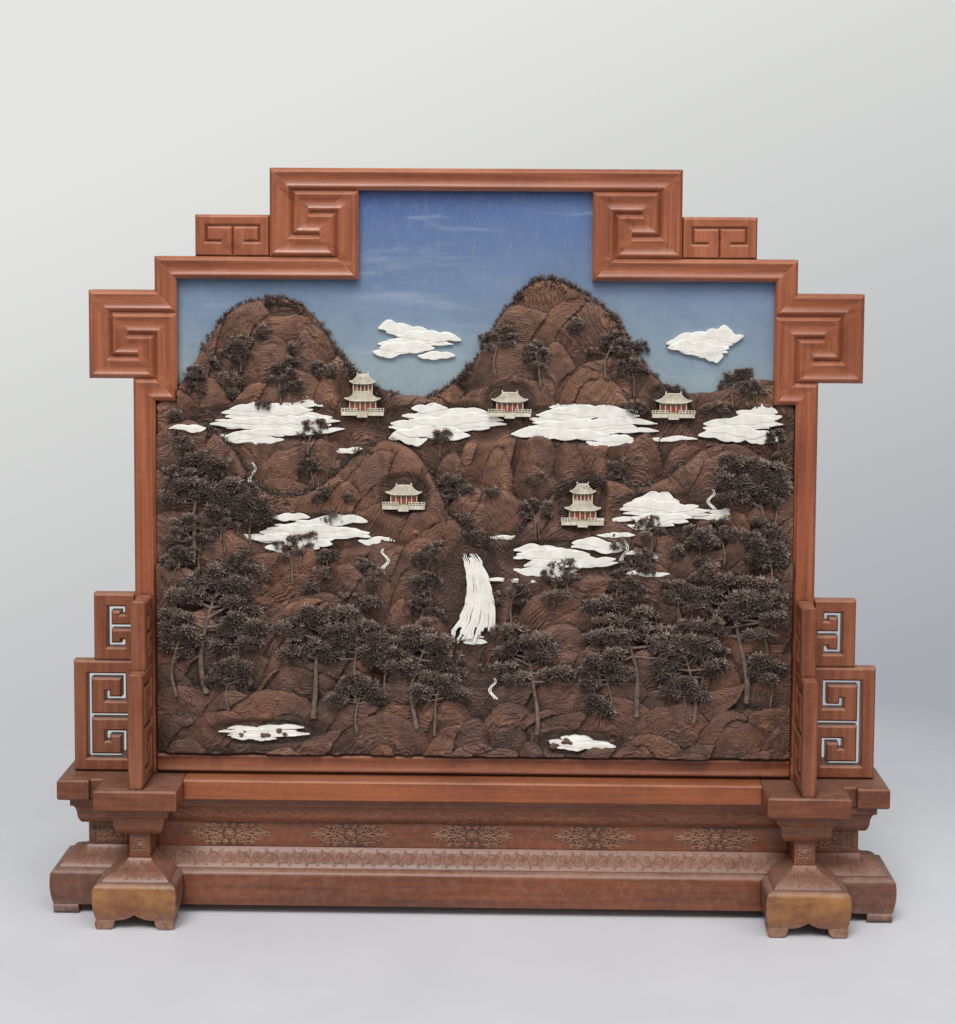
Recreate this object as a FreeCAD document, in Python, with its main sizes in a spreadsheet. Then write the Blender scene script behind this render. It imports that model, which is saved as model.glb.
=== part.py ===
import FreeCAD, Part
import math
import os
import re
import Sketcher
from FreeCAD import Placement, Rotation, Vector

# Inlaid floor screen standing in a moulded hardwood stand.
# Millimetres. X runs along the screen, the front faces -Y, the floor is Z = 0.

sizes = (
    # Stepped frame of moulded bars
    ("frame_top", 1852, "top of the frame above the floor"),
    ("band", 54.5, "face width of every frame bar"),
    ("frame_depth", 60, "frame bars, front to back"),
    ("stile_half", 844, "middle of the screen to the outside of a lower stile"),
    ("head_half", 505, "middle of the screen to the outside of the raised head"),
    ("wing_drop", 302, "top of the frame down to the top of the side wings"),
    ("bar_bevel", 8.5, "bevel along both edges of a bar"),
    ("groove_width", 1, "floor of a fret groove"),
    ("groove_depth", 9, "depth of a fret groove"),
    ("hook_over", 8, "how far a fret groove runs past the next bar"),
    ("cove_width", 31, "hollow along the face of a bar"),
    ("cove_depth", 3.5, "depth of that hollow"),
    ("shoulder_fret_width", 184, "small fret block on the shoulder"),
    ("shoulder_fret_height", 103, "small fret block, height"),
    ("shoulder_fret_depth", 44, "small fret block, front to back"),
    ("small_bar", 27, "bar of the small fret"),
    ("small_bevel", 5, "bevel of the small fret"),
    ("key_half", 16, "middle of a mitre key to its corner"),
    ("key_thickness", 12, "mitre key, front to back"),
    ("rail_tenon_length", 30, "tenon of the bottom rail"),
    ("rail_tenon_height", 28, "tenon of the bottom rail, height"),
    ("rail_tenon_thickness", 14, "tenon of the bottom rail, front to back"),
    ("stile_tenon_length", 44, "tenon below a stile"),
    ("stile_tenon_width", 32, "tenon below a stile, along the screen"),
    ("stile_tenon_thickness", 24, "tenon below a stile, front to back"),
    ("fit", 0.5, "clearance of sliding and plugged joints"),
    ("overcut", 1, "how far a cutter stands out of the face that it cuts"),
    # Picture panel and its back
    ("sky_thickness", 10, "painted ground board"),
    ("tongue", 8, "edge of the ground board held in the frame"),
    ("batten_thickness", 10, "battens behind the ground board"),
    ("batten_width", 70, "battens, height"),
    ("back_thickness", 8, "back boards"),
    ("board_gap", 1, "seam between two back boards"),
    ("far_thickness", 10, "carved layer of the far mountains"),
    ("middle_thickness", 10, "carved layer of the middle mountains"),
    ("near_thickness", 11, "carved layer of the near rocks"),
    ("inlay_thickness", 4, "clouds and water"),
    ("pavilion_thickness", 7, "pavilions"),
    ("pavilion_width", 90, "eaves of a pavilion"),
    ("pavilion_wall", 27, "walls of a pavilion, height"),
    ("pavilion_roof", 22, "roof of a pavilion, height"),
    ("eave_overhang", 13, "eaves past the walls"),
    ("eave_sag", 3.5, "hollow of a roof's slope"),
    ("pine_thickness", 6, "pines"),
    ("pine_height", 260, "height of a pine"),
    ("pine_lean", 46, "crown of a pine to the side of its root"),
    ("pine_bend", 11, "bow of a pine's trunk"),
    ("trunk_half", 6.5, "half width of a trunk at its root"),
    ("needle_height", 32, "one flat layer of needles"),
    ("cloud_height", 15, "one bar of a flat cloud"),
    # Moulded stand
    ("pad_height", 24, "scrolled pads under the feet"),
    ("foot_height", 90, "bulged foot"),
    ("slope_height", 42, "lower lotus slope"),
    ("waist_height", 64, "carved waist"),
    ("lotus_height", 48, "upper lotus moulding"),
    ("fillet_height", 21, "fillet under the slab"),
    ("slab_height", 51, "top slab"),
    ("arm_half", 101, "middle of a pedestal arm to its side"),
    ("arm_reach", 189, "middle plane to the front of the slab"),
    ("side_reach", 210.25, "middle of a pedestal to the end of its side arm's slab"),
    ("end_block", 79, "thick end of the side arm's slab"),
    ("neck_half", 85, "middle plane to the front of the slab's neck"),
    ("beam_half", 86, "middle plane to the front of the long slab"),
    ("foot_overhang", 20, "foot past the slab at an arm's end"),
    ("beam_overhang", 6, "long foot beam past the long slab"),
    ("fillet_inset", 26, "fillet inside the slab's edge"),
    ("lotus_inset", 31, "top of the upper lotus inside the slab's edge"),
    ("lotus_run", 19, "upper lotus, inward run"),
    ("arm_waist_inset", 76, "waist inside the slab's edge, along an arm"),
    ("end_waist_inset", 62, "waist inside the slab's edge, at an arm's end"),
    ("beam_waist_inset", 56, "waist inside the slab's edge, on the long beam"),
    ("slope_inset", 18, "bottom of the lower lotus inside the foot's edge"),
    ("slope_step", 2, "top of the lower lotus outside the waist"),
    ("lotus_radius", 38, "curves of the upper lotus"),
    ("slope_radius", 46, "curves of the lower lotus"),
    ("slab_bevel", 4, "eased edges of the slab"),
    ("foot_tuck", 7, "foot's inward curve at the bottom"),
    ("foot_shoulder", 16, "rounded top edge of the foot"),
    ("foot_radius", 190, "bulge of the foot"),
    ("arch_half", 52, "half width of the arch between two pads"),
    ("arch_rise", 15, "rise of that arch"),
    ("arch_radius", 70, "curves of that arch"),
    ("pad_width", 46, "scrolled pad"),
    ("pad_depth", 62, "scrolled pad, inward"),
    ("pad_radius", 15, "rounded outside of a pad"),
    ("pad_curl", 9, "outside of a pad to its tread"),
    ("pad_tread", 23, "flat tread of a pad"),
    ("beam_tenon_length", 24, "tenons of the long beam"),
    ("beam_tenon_height", 26, "tenons of the long beam, height"),
    ("beam_tenon_thickness", 30, "tenons of the long beam, front to back"),
    ("dowel_radius", 9, "dowels through the layers of the stand"),
    ("dowel_reach", 105, "middle of a pedestal to its dowels"),
    ("dowel_spacing", 380, "middle of the beam to its outer dowels"),
    ("dowel_cover", 27, "wood left above and below a dowel"),
    # Pierced brackets
    ("bracket_thickness", 36, "bracket boards"),
    ("lower_tier_height", 283, "lower tier of a bracket"),
    ("upper_tier_height", 170, "upper tier of a bracket"),
    ("side_lower_reach", 157, "side bracket, lower tier"),
    ("side_upper_reach", 105, "side bracket, upper tier"),
    ("front_lower_reach", 146, "front and back brackets, lower tier"),
    ("front_upper_reach", 100, "front and back brackets, upper tier"),
    ("bracket_bar", 34, "border bars of a bracket"),
    ("bracket_inner_bar", 27, "border bar beside the stile"),
    ("bracket_slot", 10, "pierced slots"),
    ("bracket_bevel", 5, "bevels of a bracket"),
    ("hook_back", 45, "main slot to the hook's end"),
    ("hook_drop", 59, "top slot to the hook's run"),
    ("hook_rise", 20, "length of the hook's end"),
    ("short_hook", 14, "hook of the upper tier"),
    ("slot_stop", 12, "end of the middle slot from the stile"),
    ("bracket_tenon_length", 20, "tenon below a bracket tier"),
    ("bracket_tenon_width", 50, "tenon below a bracket tier, along the board"),
    ("bracket_tenon_thickness", 16, "tenon below a bracket tier, across the board"),
)

doc = FreeCAD.newDocument("inlaid_screen")
sheet = doc.addObject("Spreadsheet::Sheet", "Params")
for row, (alias, number, note) in enumerate(sizes, start=1):
    sheet.set("A%d" % row, note)
    sheet.set("B%d" % row, str(number))
    sheet.setAlias("B%d" % row, alias)
doc.recompute()

sub_parts = []


# Levels and edges shared by several pieces
foot_top = "(pad_height + foot_height)"
slope_top = "(pad_height + foot_height + slope_height)"
waist_top = "(pad_height + foot_height + slope_height + waist_height)"
lotus_top = "(pad_height + foot_height + slope_height + waist_height + lotus_height)"
slab_bottom = "(pad_height + foot_height + slope_height + waist_height + lotus_height + fillet_height)"
base_top = slab_bottom[:-1] + " + slab_height)"
stile_in = "(stile_half - band)"
upper_in = "(stile_half - 2 * band)"
arm_middle = "(stile_half - band / 2)"
side_end = "(" + arm_middle + " + side_reach)"
wing_out = "(stile_half + 2 * band)"
wing_low = "(wing_top - 4 * band)"
jog_low = "(wing_top - 5 * band)"
head_in = "(head_half - 4 * band)"
shoulder_low = "(frame_top - 5 * band)"
shoulder_top = "(frame_top - 4 * band)"
rail_top = "(" + base_top + " + band)"
head_low = "(frame_top - band)"
sky_front = "0"


def spelled_out(expression):
    # The wings hang from the top of the frame.
    return expression.replace("wing_top", "(frame_top - wing_drop)")


def value(expression):
    return float(sheet.evalExpression(spelled_out(expression)))


def bound(expression):
    words = r"\b(?!sqrt\b)[a-z_]+"
    return re.sub(words, lambda word: "Params." + word.group(0), spelled_out(expression))


def along_x(side, expression):
    return "%d * (%s)" % (side, expression)


def side_name(side):
    return "right" if side > 0 else "left"


def new_body(label):
    body = doc.addObject("PartDesign::Body", label)
    body.Label = label
    sub_parts.append(body)
    return body


def arc_middle(start, end, radius, bulge):
    # Middle of the short arc from start to end that bulges to the left (1) or right (-1).
    chord = end - start
    across = Vector(-chord.y, chord.x, 0).normalize()
    sagitta = radius - math.sqrt(radius ** 2 - (chord.Length / 2) ** 2)
    return (start + end) / 2 + across * sagitta * bulge


def empty_sketch(body, plane, offset):
    drawing = body.newObject("Sketcher::SketchObject", "Outline")
    origin_plane = [item for item in body.Origin.OriginFeatures if item.Role == plane][0]
    drawing.AttachmentSupport = [(origin_plane, "")]
    drawing.MapMode = "FlatFace"
    if offset:
        drawing.AttachmentOffset = Placement(Vector(0, 0, value(offset)), Rotation())
        drawing.setExpression("AttachmentOffset.Base.z", bound(offset))
    return drawing


def sketch(body, plane, points, arcs=None, offset=None, closed=True):
    # points are pairs of expressions; arcs gives a radius and a bulge by the number of a run.
    arcs = arcs or {}
    drawing = empty_sketch(body, plane, offset)
    corners = [Vector(value(across), value(up), 0) for across, up in points]
    runs = len(points) if closed else len(points) - 1
    firsts = []
    for run in range(runs):
        start = corners[run]
        end = corners[(run + 1) % len(points)]
        if run in arcs:
            radius, bulge = arcs[run]
            middle = arc_middle(start, end, value(radius), bulge)
            turned = bulge > 0
            arc = Part.Arc(end, middle, start) if turned else Part.Arc(start, middle, end)
            number = drawing.addGeometry(arc, False)
            firsts.append((number, 2 if turned else 1))
            drawing.addConstraint(Sketcher.Constraint("Radius", number, value(radius)))
            drawing.setExpression("Constraints[%d]" % (drawing.ConstraintCount - 1), bound(radius))
        else:
            firsts.append((drawing.addGeometry(Part.LineSegment(start, end), False), 1))
    for run in range(runs if closed else runs - 1):
        number, first = firsts[run]
        following, following_first = firsts[(run + 1) % runs]
        drawing.addConstraint(
            Sketcher.Constraint("Coincident", number, 3 - first, following, following_first))
    for index, (across, up) in enumerate(points):
        number, first = firsts[min(index, runs - 1)]
        vertex = first if index < runs else 3 - first
        for kind, expression, place in (("DistanceX", across, corners[index].x),
                                        ("DistanceY", up, corners[index].y)):
            drawing.addConstraint(Sketcher.Constraint(kind, -1, 1, number, vertex, place))
            drawing.setExpression(
                "Constraints[%d]" % (drawing.ConstraintCount - 1), bound(expression))
    return drawing


def rectangle(low_x, low_y, high_x, high_y):
    return [(low_x, low_y), (high_x, low_y), (high_x, high_y), (low_x, high_y)]


def pad(body, drawing, length, symmetric=True, reverse=False):
    feature = body.newObject("PartDesign::Pad", "Pad")
    feature.Profile = drawing
    feature.SideType = "Symmetric" if symmetric else "One side"
    feature.Reversed = reverse
    feature.setExpression("Length", bound(length))
    doc.recompute()
    return feature


def pocket(body, drawing, length=None, symmetric=True, reverse=False):
    before = body.Shape.Volume
    feature = body.newObject("PartDesign::Pocket", "Pocket")
    feature.Profile = drawing
    feature.SideType = "Symmetric" if symmetric else "One side"
    feature.Reversed = reverse
    if length:
        feature.setExpression("Length", bound(length))
    else:
        feature.Type = "ThroughAll"
    doc.recompute()
    if body.Shape.Volume >= before:
        raise RuntimeError("a pocket in %s cuts nothing" % body.Label)
    return feature


def on_line(point, start, end):
    whole = (end - start).Length
    return abs((point - start).Length + (point - end).Length - whole) < 1e-4


def bevel_front(body, level, size, skipped=(), across="y"):
    # Bevel every edge of the face at this level but those on the skipped lines.
    base = body.Tip
    lines = [tuple(Vector(value(x), level, value(z)) for x, z in line) for line in skipped]
    names = []
    for number, edge in enumerate(base.Shape.Edges, start=1):
        ends = [vertex.Point for vertex in edge.Vertexes]
        if any(abs(getattr(point, across) - level) > 1e-4 for point in ends):
            continue
        if any(all(on_line(point, *line) for point in ends) for line in lines):
            continue
        names.append("Edge%d" % number)
    feature = body.newObject("PartDesign::Chamfer", "Bevel")
    feature.Base = (base, names)
    feature.setExpression("Size", bound(size))
    doc.recompute()
    return feature


def ribbon(path, half):
    # Outline of a square-cornered slot of this half width along a path of expressions.
    spots = [Vector(value(across), value(up), 0) for across, up in path]
    steps = [(after - before).normalize() for before, after in zip(spots, spots[1:])]
    lefts = [Vector(-step.y, step.x, 0) for step in steps]
    left_side = []
    right_side = []
    for index, (across, up) in enumerate(path):
        if index == 0:
            shift = lefts[0]
        elif index == len(path) - 1:
            shift = lefts[-1]
        else:
            shift = lefts[index - 1] + lefts[index]
        for out, sign in ((left_side, 1), (right_side, -1)):
            out.append(("%s + %d * %s" % (across, round(shift.x) * sign, half),
                        "%s + %d * %s" % (up, round(shift.y) * sign, half)))
    return left_side + right_side[::-1]


# Stepped frame of moulded bars

frame_front = "(frame_depth / 2)"
cove_radius = "((cove_width ^ 2 / 4 + cove_depth ^ 2) / (2 * cove_depth))"
cove_rim = "sqrt(%s ^ 2 - (%s - cove_depth - overcut) ^ 2)" % (cove_radius, cove_radius)
sky_middle = "(sky_thickness / 2)"


def cut_cove(body, path):
    # Hollow the face of a bar along its middle line.
    start, following = path[0], path[1]
    rim_level = "-%s - overcut" % frame_front
    if abs(value(start[0]) - value(following[0])) < 1e-6:
        rim = [(start[0] + " - " + cove_rim, rim_level), (start[0] + " + " + cove_rim, rim_level)]
        profile = sketch(body, "XY_Plane", rim, {0: (cove_radius, 1)}, start[1])
    else:
        rim = [(rim_level, start[1] + " - " + cove_rim), (rim_level, start[1] + " + " + cove_rim)]
        profile = sketch(body, "YZ_Plane", rim, {0: (cove_radius, -1)}, start[0])
    spine = sketch(body, "XZ_Plane", path, closed=False)
    doc.recompute()
    before = body.Shape.Volume
    feature = body.newObject("PartDesign::SubtractivePipe", "Cove")
    feature.Profile = profile
    feature.Spine = (spine, [])
    feature.Transition = "Right corner"
    doc.recompute()
    if body.Shape.Volume >= before:
        raise RuntimeError("the hollow of %s cuts nothing" % body.Label)


def mitre_key(middle):
    across, up = middle
    return [(across + " - key_half", up), (across, up + " - key_half"),
            (across + " + key_half", up), (across, up + " + key_half")]


def frame_piece(label, outline, mitres, cove, grooves=(), housings=(), keys=(), joints=()):
    # A bar or fret of the frame: bevelled front, hollowed face, grooves, and its hidden joints.
    body = new_body(label)
    pad(body, sketch(body, "XZ_Plane", outline), "frame_depth")
    for path in grooves:
        slot = sketch(body, "XZ_Plane", ribbon(path, "groove_width / 2"), offset=frame_front)
        pocket(body, slot, "groove_depth", symmetric=False)
    bevel_front(body, -value(frame_front), "bar_bevel", list(mitres) + list(joints))
    cut_cove(body, cove)
    for low_x, low_z, high_x, high_z in housings:
        edge = sketch(body, "XZ_Plane", rectangle(low_x, low_z, high_x, high_z), offset="-" + sky_middle)
        pocket(body, edge, "sky_thickness")
    for middle in keys:
        pocket(body, sketch(body, "XZ_Plane", mitre_key(middle)), "key_thickness")
    return body


def middle_of(line):
    (start_x, start_z), (end_x, end_z) = line
    return ("(%s + %s) / 2" % (start_x, end_x), "(%s + %s) / 2" % (start_z, end_z))


def mirrored(side, points):
    return [(along_x(side, across), up) for across, up in points]


key_middles = []


def top_rail():
    mitres = [mirrored(side, [("head_half", "frame_top"), ("head_half - band", head_low)])
              for side in (-1, 1)]
    outline = [mitres[0][0], mitres[1][0], mitres[1][1], mitres[0][1]]
    level = "frame_top - band / 2"
    key_middles.extend(middle_of(line) for line in mitres)
    cove = [("-head_half - overcut", level), ("head_half + overcut", level)]
    groove_end = head_in + " + tongue"
    frame_piece("top_rail", outline, mitres, cove,
                housings=[("-(%s)" % groove_end, head_low, groove_end, head_low + " + tongue")],
                keys=[middle_of(line) for line in mitres])


def head_fret(side):
    outline = mirrored(side, [("head_half", "frame_top"), ("head_half - band", head_low),
                              (head_in, head_low), (head_in, shoulder_low),
                              (head_in + " + band", shoulder_top), ("head_half", shoulder_top)])
    mitres = [outline[0:2], outline[3:5]]
    first = mirrored(side, [("head_half - band", head_low + " + overcut"),
                            ("head_half - band", "frame_top - 3 * band"),
                            ("head_half - 2 * band - hook_over", "frame_top - 3 * band")])
    second = mirrored(side, [("head_half - 3 * band", shoulder_top + " - overcut"),
                             ("head_half - 3 * band", "frame_top - 2 * band"),
                             ("head_half - 2 * band + hook_over", "frame_top - 2 * band")])
    turns = [(0.5, 0), (0.5, 3.5), (2.5, 3.5), (2.5, 2.5), (1.5, 2.5), (1.5, 1.5), (3.5, 1.5), (3.5, 5.5)]
    cove = mirrored(side, [("head_half - %s * band" % across, "frame_top - %s * band" % down)
                           for across, down in turns])
    edges = sorted([along_x(side, head_in), along_x(side, head_in + " + tongue")], key=value)
    frame_piece(side_name(side) + "_head_fret", outline, mitres, cove, [first, second],
                [(edges[0], shoulder_low, edges[1], head_low + " + tongue")],
                [middle_of(line) for line in mitres])


def shoulder_rail(side):
    outline = mirrored(side, [(head_in, shoulder_low), (upper_in, shoulder_low), (stile_in, shoulder_top),
                              (head_in + " + band", shoulder_top)])
    mitres = [outline[1:3], [outline[3], outline[0]]]
    level = "frame_top - 4.5 * band"
    cove = mirrored(side, [(head_in + " - overcut", level), (stile_in + " + overcut", level)])
    edges = sorted([along_x(side, head_in), along_x(side, upper_in + " + tongue")], key=value)
    key_middles.extend(middle_of(line) for line in mitres)
    body = frame_piece(side_name(side) + "_shoulder_rail", outline, mitres, cove,
                       housings=[(edges[0], shoulder_low, edges[1], shoulder_low + " + tongue")],
                       keys=[middle_of(line) for line in mitres])
    seat = mirrored(side, shoulder_tenon("fit"))
    pocket(body, sketch(body, "XZ_Plane", seat), "key_thickness + 2 * fit")


def shoulder_tenon(clearance):
    middle = "head_half + shoulder_fret_width / 2"
    return rectangle("%s - small_bar - %s" % (middle, clearance),
                     "%s - key_half - %s" % (shoulder_top, clearance),
                     "%s + small_bar + %s" % (middle, clearance), shoulder_top)


def shoulder_fret(side):
    # Small block with two hooks facing each other under a T groove.
    near, far = "head_half", "head_half + shoulder_fret_width"
    top = "(%s + shoulder_fret_height)" % shoulder_top
    body = new_body(side_name(side) + "_shoulder_fret")
    outline = mirrored(side, rectangle(near, shoulder_top, far, top))
    pad(body, sketch(body, "XZ_Plane", outline), "shoulder_fret_depth")
    front = "(shoulder_fret_depth / 2)"
    hook_level = "%s - (shoulder_fret_height + small_bar) / 2" % top
    hook_length = "2 * small_bar + hook_over"
    bar_level = "%s - small_bar" % top
    hooks = mirrored(side, [("%s + %s" % (near, hook_length), hook_level),
                            ("%s + small_bar" % near, hook_level),
                            ("%s + small_bar" % near, bar_level), ("%s - small_bar" % far, bar_level),
                            ("%s - small_bar" % far, hook_level),
                            ("%s - (%s)" % (far, hook_length), hook_level)])
    middle = "head_half + shoulder_fret_width / 2"
    stem = mirrored(side, [(middle, shoulder_top + " - overcut"), (middle, bar_level)])
    for path in (hooks, stem):
        slot = sketch(body, "XZ_Plane", ribbon(path, "groove_width / 2"), offset=front)
        pocket(body, slot, "groove_depth", symmetric=False)
    bevel_front(body, -value(front), "small_bevel")
    tenon = sketch(body, "XZ_Plane", mirrored(side, shoulder_tenon("0")))
    pad(body, tenon, "key_thickness")


def upper_stile(side):
    outline = mirrored(side, [(stile_in, shoulder_top), (upper_in, shoulder_low),
                              (upper_in, "wing_top - band"), (stile_in, "wing_top")])
    mitres = [outline[0:2], outline[2:4]]
    line = "stile_half - 1.5 * band"
    cove = mirrored(side, [(line, shoulder_top + " + overcut"), (line, "wing_top - band - overcut")])
    edges = sorted([along_x(side, upper_in), along_x(side, upper_in + " + tongue")], key=value)
    key_middles.append(middle_of(mitres[1]))
    frame_piece(side_name(side) + "_upper_stile", outline, mitres, cove,
                housings=[(edges[0], "wing_top - band", edges[1], shoulder_low + " + tongue")],
                keys=[middle_of(line) for line in mitres])


def wing_fret(side):
    outline = mirrored(side, [(stile_in, "wing_top"), (wing_out, "wing_top"), (wing_out, wing_low),
                              (stile_in, wing_low), (upper_in, jog_low), (upper_in, "wing_top - band")])
    mitres = [outline[3:5], [outline[5], outline[0]]]
    first = mirrored(side, [(upper_in + " - overcut", "wing_top - band"),
                            (wing_out + " - band", "wing_top - band"),
                            (wing_out + " - band", "wing_top - 3 * band"),
                            (wing_out + " - 2 * band - hook_over", "wing_top - 3 * band")])
    second = mirrored(side, [(stile_in, wing_low + " - overcut"), (stile_in, "wing_top - 2 * band"),
                             (wing_out + " - 2 * band + hook_over", "wing_top - 2 * band")])
    turns = [(-2, 0.5), (1.5, 0.5), (1.5, 3.5), (-0.5, 3.5),
             (-0.5, 2.5), (0.5, 2.5), (0.5, 1.5), (-1.5, 1.5),
             (-1.5, 5)]
    cove = mirrored(side, [("stile_half + %s * band" % across, "wing_top - %s * band" % down)
                           for across, down in turns])
    edges = sorted([along_x(side, upper_in), along_x(side, upper_in + " + tongue")], key=value)
    key_middles.append(middle_of(mitres[0]))
    frame_piece(side_name(side) + "_wing_fret", outline, mitres, cove, [first, second],
                [(edges[0], jog_low, edges[1], "wing_top - band + tongue")],
                [middle_of(line) for line in mitres])


def lower_stile(side):
    outline = mirrored(side, [(upper_in, jog_low), (stile_in, jog_low), (stile_in, base_top),
                              ("stile_half", base_top), ("stile_half", wing_low), (stile_in, wing_low)])
    mitres = [[outline[5], outline[0]]]
    seats = [outline[2:4], [outline[2], mirrored(side, [(stile_in, rail_top)])[0]]]
    line = "stile_half - band / 2"
    level = "wing_top - 4.5 * band"
    cove = mirrored(side, [(line, base_top + " - overcut"), (line, level), (upper_in + " - overcut", level)])
    edges = sorted([along_x(side, stile_in), along_x(side, stile_in + " + tongue")], key=value)
    jog = sorted([along_x(side, upper_in), along_x(side, stile_in + " + tongue")], key=value)
    body = frame_piece(side_name(side) + "_lower_stile", outline, mitres, cove,
                       housings=[(edges[0], rail_top + " - tongue", edges[1], jog_low),
                                 (jog[0], jog_low, jog[1], jog_low + " + tongue")],
                       keys=[middle_of(line) for line in mitres], joints=seats)
    mortise = sketch(body, "XZ_Plane", mirrored(side, rail_tenon("fit")))
    pocket(body, mortise, "rail_tenon_thickness + 2 * fit")
    foot = rectangle(line + " - stile_tenon_width / 2", base_top + " - stile_tenon_length",
                     line + " + stile_tenon_width / 2", base_top)
    pad(body, sketch(body, "XZ_Plane", mirrored(side, foot)), "stile_tenon_thickness")


def rail_tenon(clearance):
    middle = base_top + " + band / 2"
    return rectangle(stile_in, "%s - rail_tenon_height / 2 - %s" % (middle, clearance),
                     "%s + rail_tenon_length + %s" % (stile_in, clearance),
                     "%s + rail_tenon_height / 2 + %s" % (middle, clearance))


def bottom_rail():
    outline = rectangle("-" + stile_in, base_top, stile_in, rail_top)
    ends = [[outline[1], outline[2]], [outline[3], outline[0]]]
    level = base_top + " + band / 2"
    cove = [("-%s - overcut" % stile_in, level), (stile_in + " + overcut", level)]
    body = frame_piece("bottom_rail", outline, ends, cove,
                       housings=[("-" + stile_in, rail_top + " - tongue", stile_in, rail_top)])
    for side in (-1, 1):
        pad(body, sketch(body, "XZ_Plane", mirrored(side, rail_tenon("0"))), "rail_tenon_thickness")


def group(label, members):
    # Several separate solids that share one sub-part.
    gathered = doc.addObject("Part::Compound", label)
    gathered.Label = label
    gathered.Links = members
    sub_parts.append(gathered)
    return gathered


def box(name, low, high):
    # A block between two corners given as expressions.
    block = doc.addObject("Part::Box", name)
    for axis, size, start, end in zip("xyz", ("Length", "Width", "Height"), low, high):
        block.setExpression(size, bound("(%s) - (%s)" % (end, start)))
        block.setExpression("Placement.Base." + axis, bound(start))
    return block


def plate(name, points, front, thickness):
    # A flat board in the plane of the screen, from its front face backwards.
    body = doc.addObject("PartDesign::Body", name)
    face = sketch(body, "XZ_Plane", points, offset="-(%s)" % front)
    pad(body, face, thickness, symmetric=False, reverse=True)
    return body


def mitre_keys():
    keys = []
    for number, middle in enumerate(key_middles):
        body = doc.addObject("PartDesign::Body", "Key%d" % number)
        pad(body, sketch(body, "XZ_Plane", mitre_key(middle)), "key_thickness")
        keys.append(body)
    group("mitre_keys", keys)


# Picture panel and the back of the screen

def opening(margin):
    # Outline of the stepped picture opening, grown by a margin.
    half = [(stile_in, "%s - %s" % (rail_top, margin)), (stile_in, "%s + %s" % (jog_low, margin)),
            (upper_in, "%s + %s" % (jog_low, margin)), (upper_in, "%s + %s" % (shoulder_low, margin)),
            (head_in, "%s + %s" % (shoulder_low, margin)), (head_in, "%s + %s" % (head_low, margin))]
    right = [("%s + %s" % (across, margin), up) for across, up in half]
    return right + mirrored(-1, right)[::-1]


def sky_board():
    body = plate("sky_board", opening("(tongue - fit)"), sky_front, "sky_thickness")
    body.Label = "sky_board"
    sub_parts.append(body)


def back_battens():
    levels = [(rail_top + " + batten_width", stile_in),
              ("(%s + %s) / 2" % (rail_top, shoulder_low), stile_in),
              (shoulder_low + " - 2 * batten_width", upper_in)]
    bars = []
    for number, (level, half) in enumerate(levels):
        low = ("-%s + fit" % half, "sky_thickness", level)
        high = ("%s - fit" % half, "sky_thickness + batten_thickness", level + " + batten_width")
        bars.append(box("Batten%d" % number, low, high))
    group("back_battens", bars)


def back_boards():
    # Vertical boards in the back of the opening, the outer ones cut to the steps.
    seam = "board_gap / 2"
    middle = "(%s + %s) / 2" % (head_in, upper_in)
    low = rail_top + " + fit"
    front = "sky_thickness + batten_thickness"
    boards = []
    for side in (-1, 1):
        inner = rectangle(seam, low, head_in + " - fit", head_low + " - fit")
        next_board = rectangle("%s - fit + board_gap" % head_in, low, "%s - %s" % (middle, seam),
                               shoulder_low + " - fit")
        outer = [("%s + %s" % (middle, seam), low), (stile_in + " - fit", low),
                 (stile_in + " - fit", jog_low + " - fit"),
                 (upper_in + " - fit", jog_low + " - fit"), (upper_in + " - fit", shoulder_low + " - fit"),
                 ("%s + %s" % (middle, seam), shoulder_low + " - fit")]
        for number, points in enumerate((inner, next_board, outer)):
            name = "Board%s%d" % (side_name(side), number)
            boards.append(plate(name, mirrored(side, points), front, "back_thickness"))
    group("back_boards", boards)


# Carved landscape, laid out in shares of the picture opening

far_front = "-far_thickness"
middle_front = "(-far_thickness - middle_thickness)"
near_front = "(-far_thickness - middle_thickness - near_thickness)"


def spot(across, up, front):
    # A point of the picture: shares of the half width and of the height up to the shoulder.
    low = value(rail_top)
    return Vector(across * value(stile_in), value(front), low + up * (value(shoulder_low) - low))


def solid_feature(label, solids):
    feature = doc.addObject("Part::Feature", label)
    feature.Label = label
    feature.Shape = Part.makeCompound(solids) if len(solids) > 1 else solids[0]
    feature.Placement = Placement()
    sub_parts.append(feature)


def ridge_layer(label, ridge, front, thickness):
    # A carved board under a ridge line, cut to the picture opening.
    crest = Part.BSplineCurve()
    crest.interpolate([spot(across, up, front) for across, up in ridge])
    left = spot(ridge[0][0], 0, front)
    right = spot(ridge[-1][0], 0, front)
    rim = Part.Wire([crest.toShape(),
                     Part.LineSegment(crest.EndPoint, right).toShape(),
                     Part.LineSegment(right, left).toShape(),
                     Part.LineSegment(left, crest.StartPoint).toShape()])
    board = Part.Face(rim).extrude(Vector(0, value(thickness), 0))
    corners = [Vector(value(across), value(front), value(up)) for across, up in opening("(-fit)")]
    hole = Part.Face(Part.makePolygon(corners + corners[:1])).extrude(Vector(0, value(thickness), 0))
    solid_feature(label, board.common(hole).Solids)


def stadium(middle, width, height, thickness):
    # Bar with round ends in the plane of the screen, standing out of its middle point to the front.
    arm = Vector(width / 2 - height / 2, 0, 0)
    rise = Vector(0, 0, height / 2)
    tip = Vector(height / 2, 0, 0)
    rim = Part.Wire([
        Part.LineSegment(middle - arm - rise, middle + arm - rise).toShape(),
        Part.Arc(middle + arm - rise, middle + arm + tip, middle + arm + rise).toShape(),
        Part.LineSegment(middle + arm + rise, middle - arm + rise).toShape(),
        Part.Arc(middle - arm + rise, middle - arm - tip, middle - arm - rise).toShape()])
    return Part.Face(rim).extrude(Vector(0, -thickness, 0))


def fused(solids):
    return solids[0].multiFuse(solids[1:]).removeSplitter().Solids[0]


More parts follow.
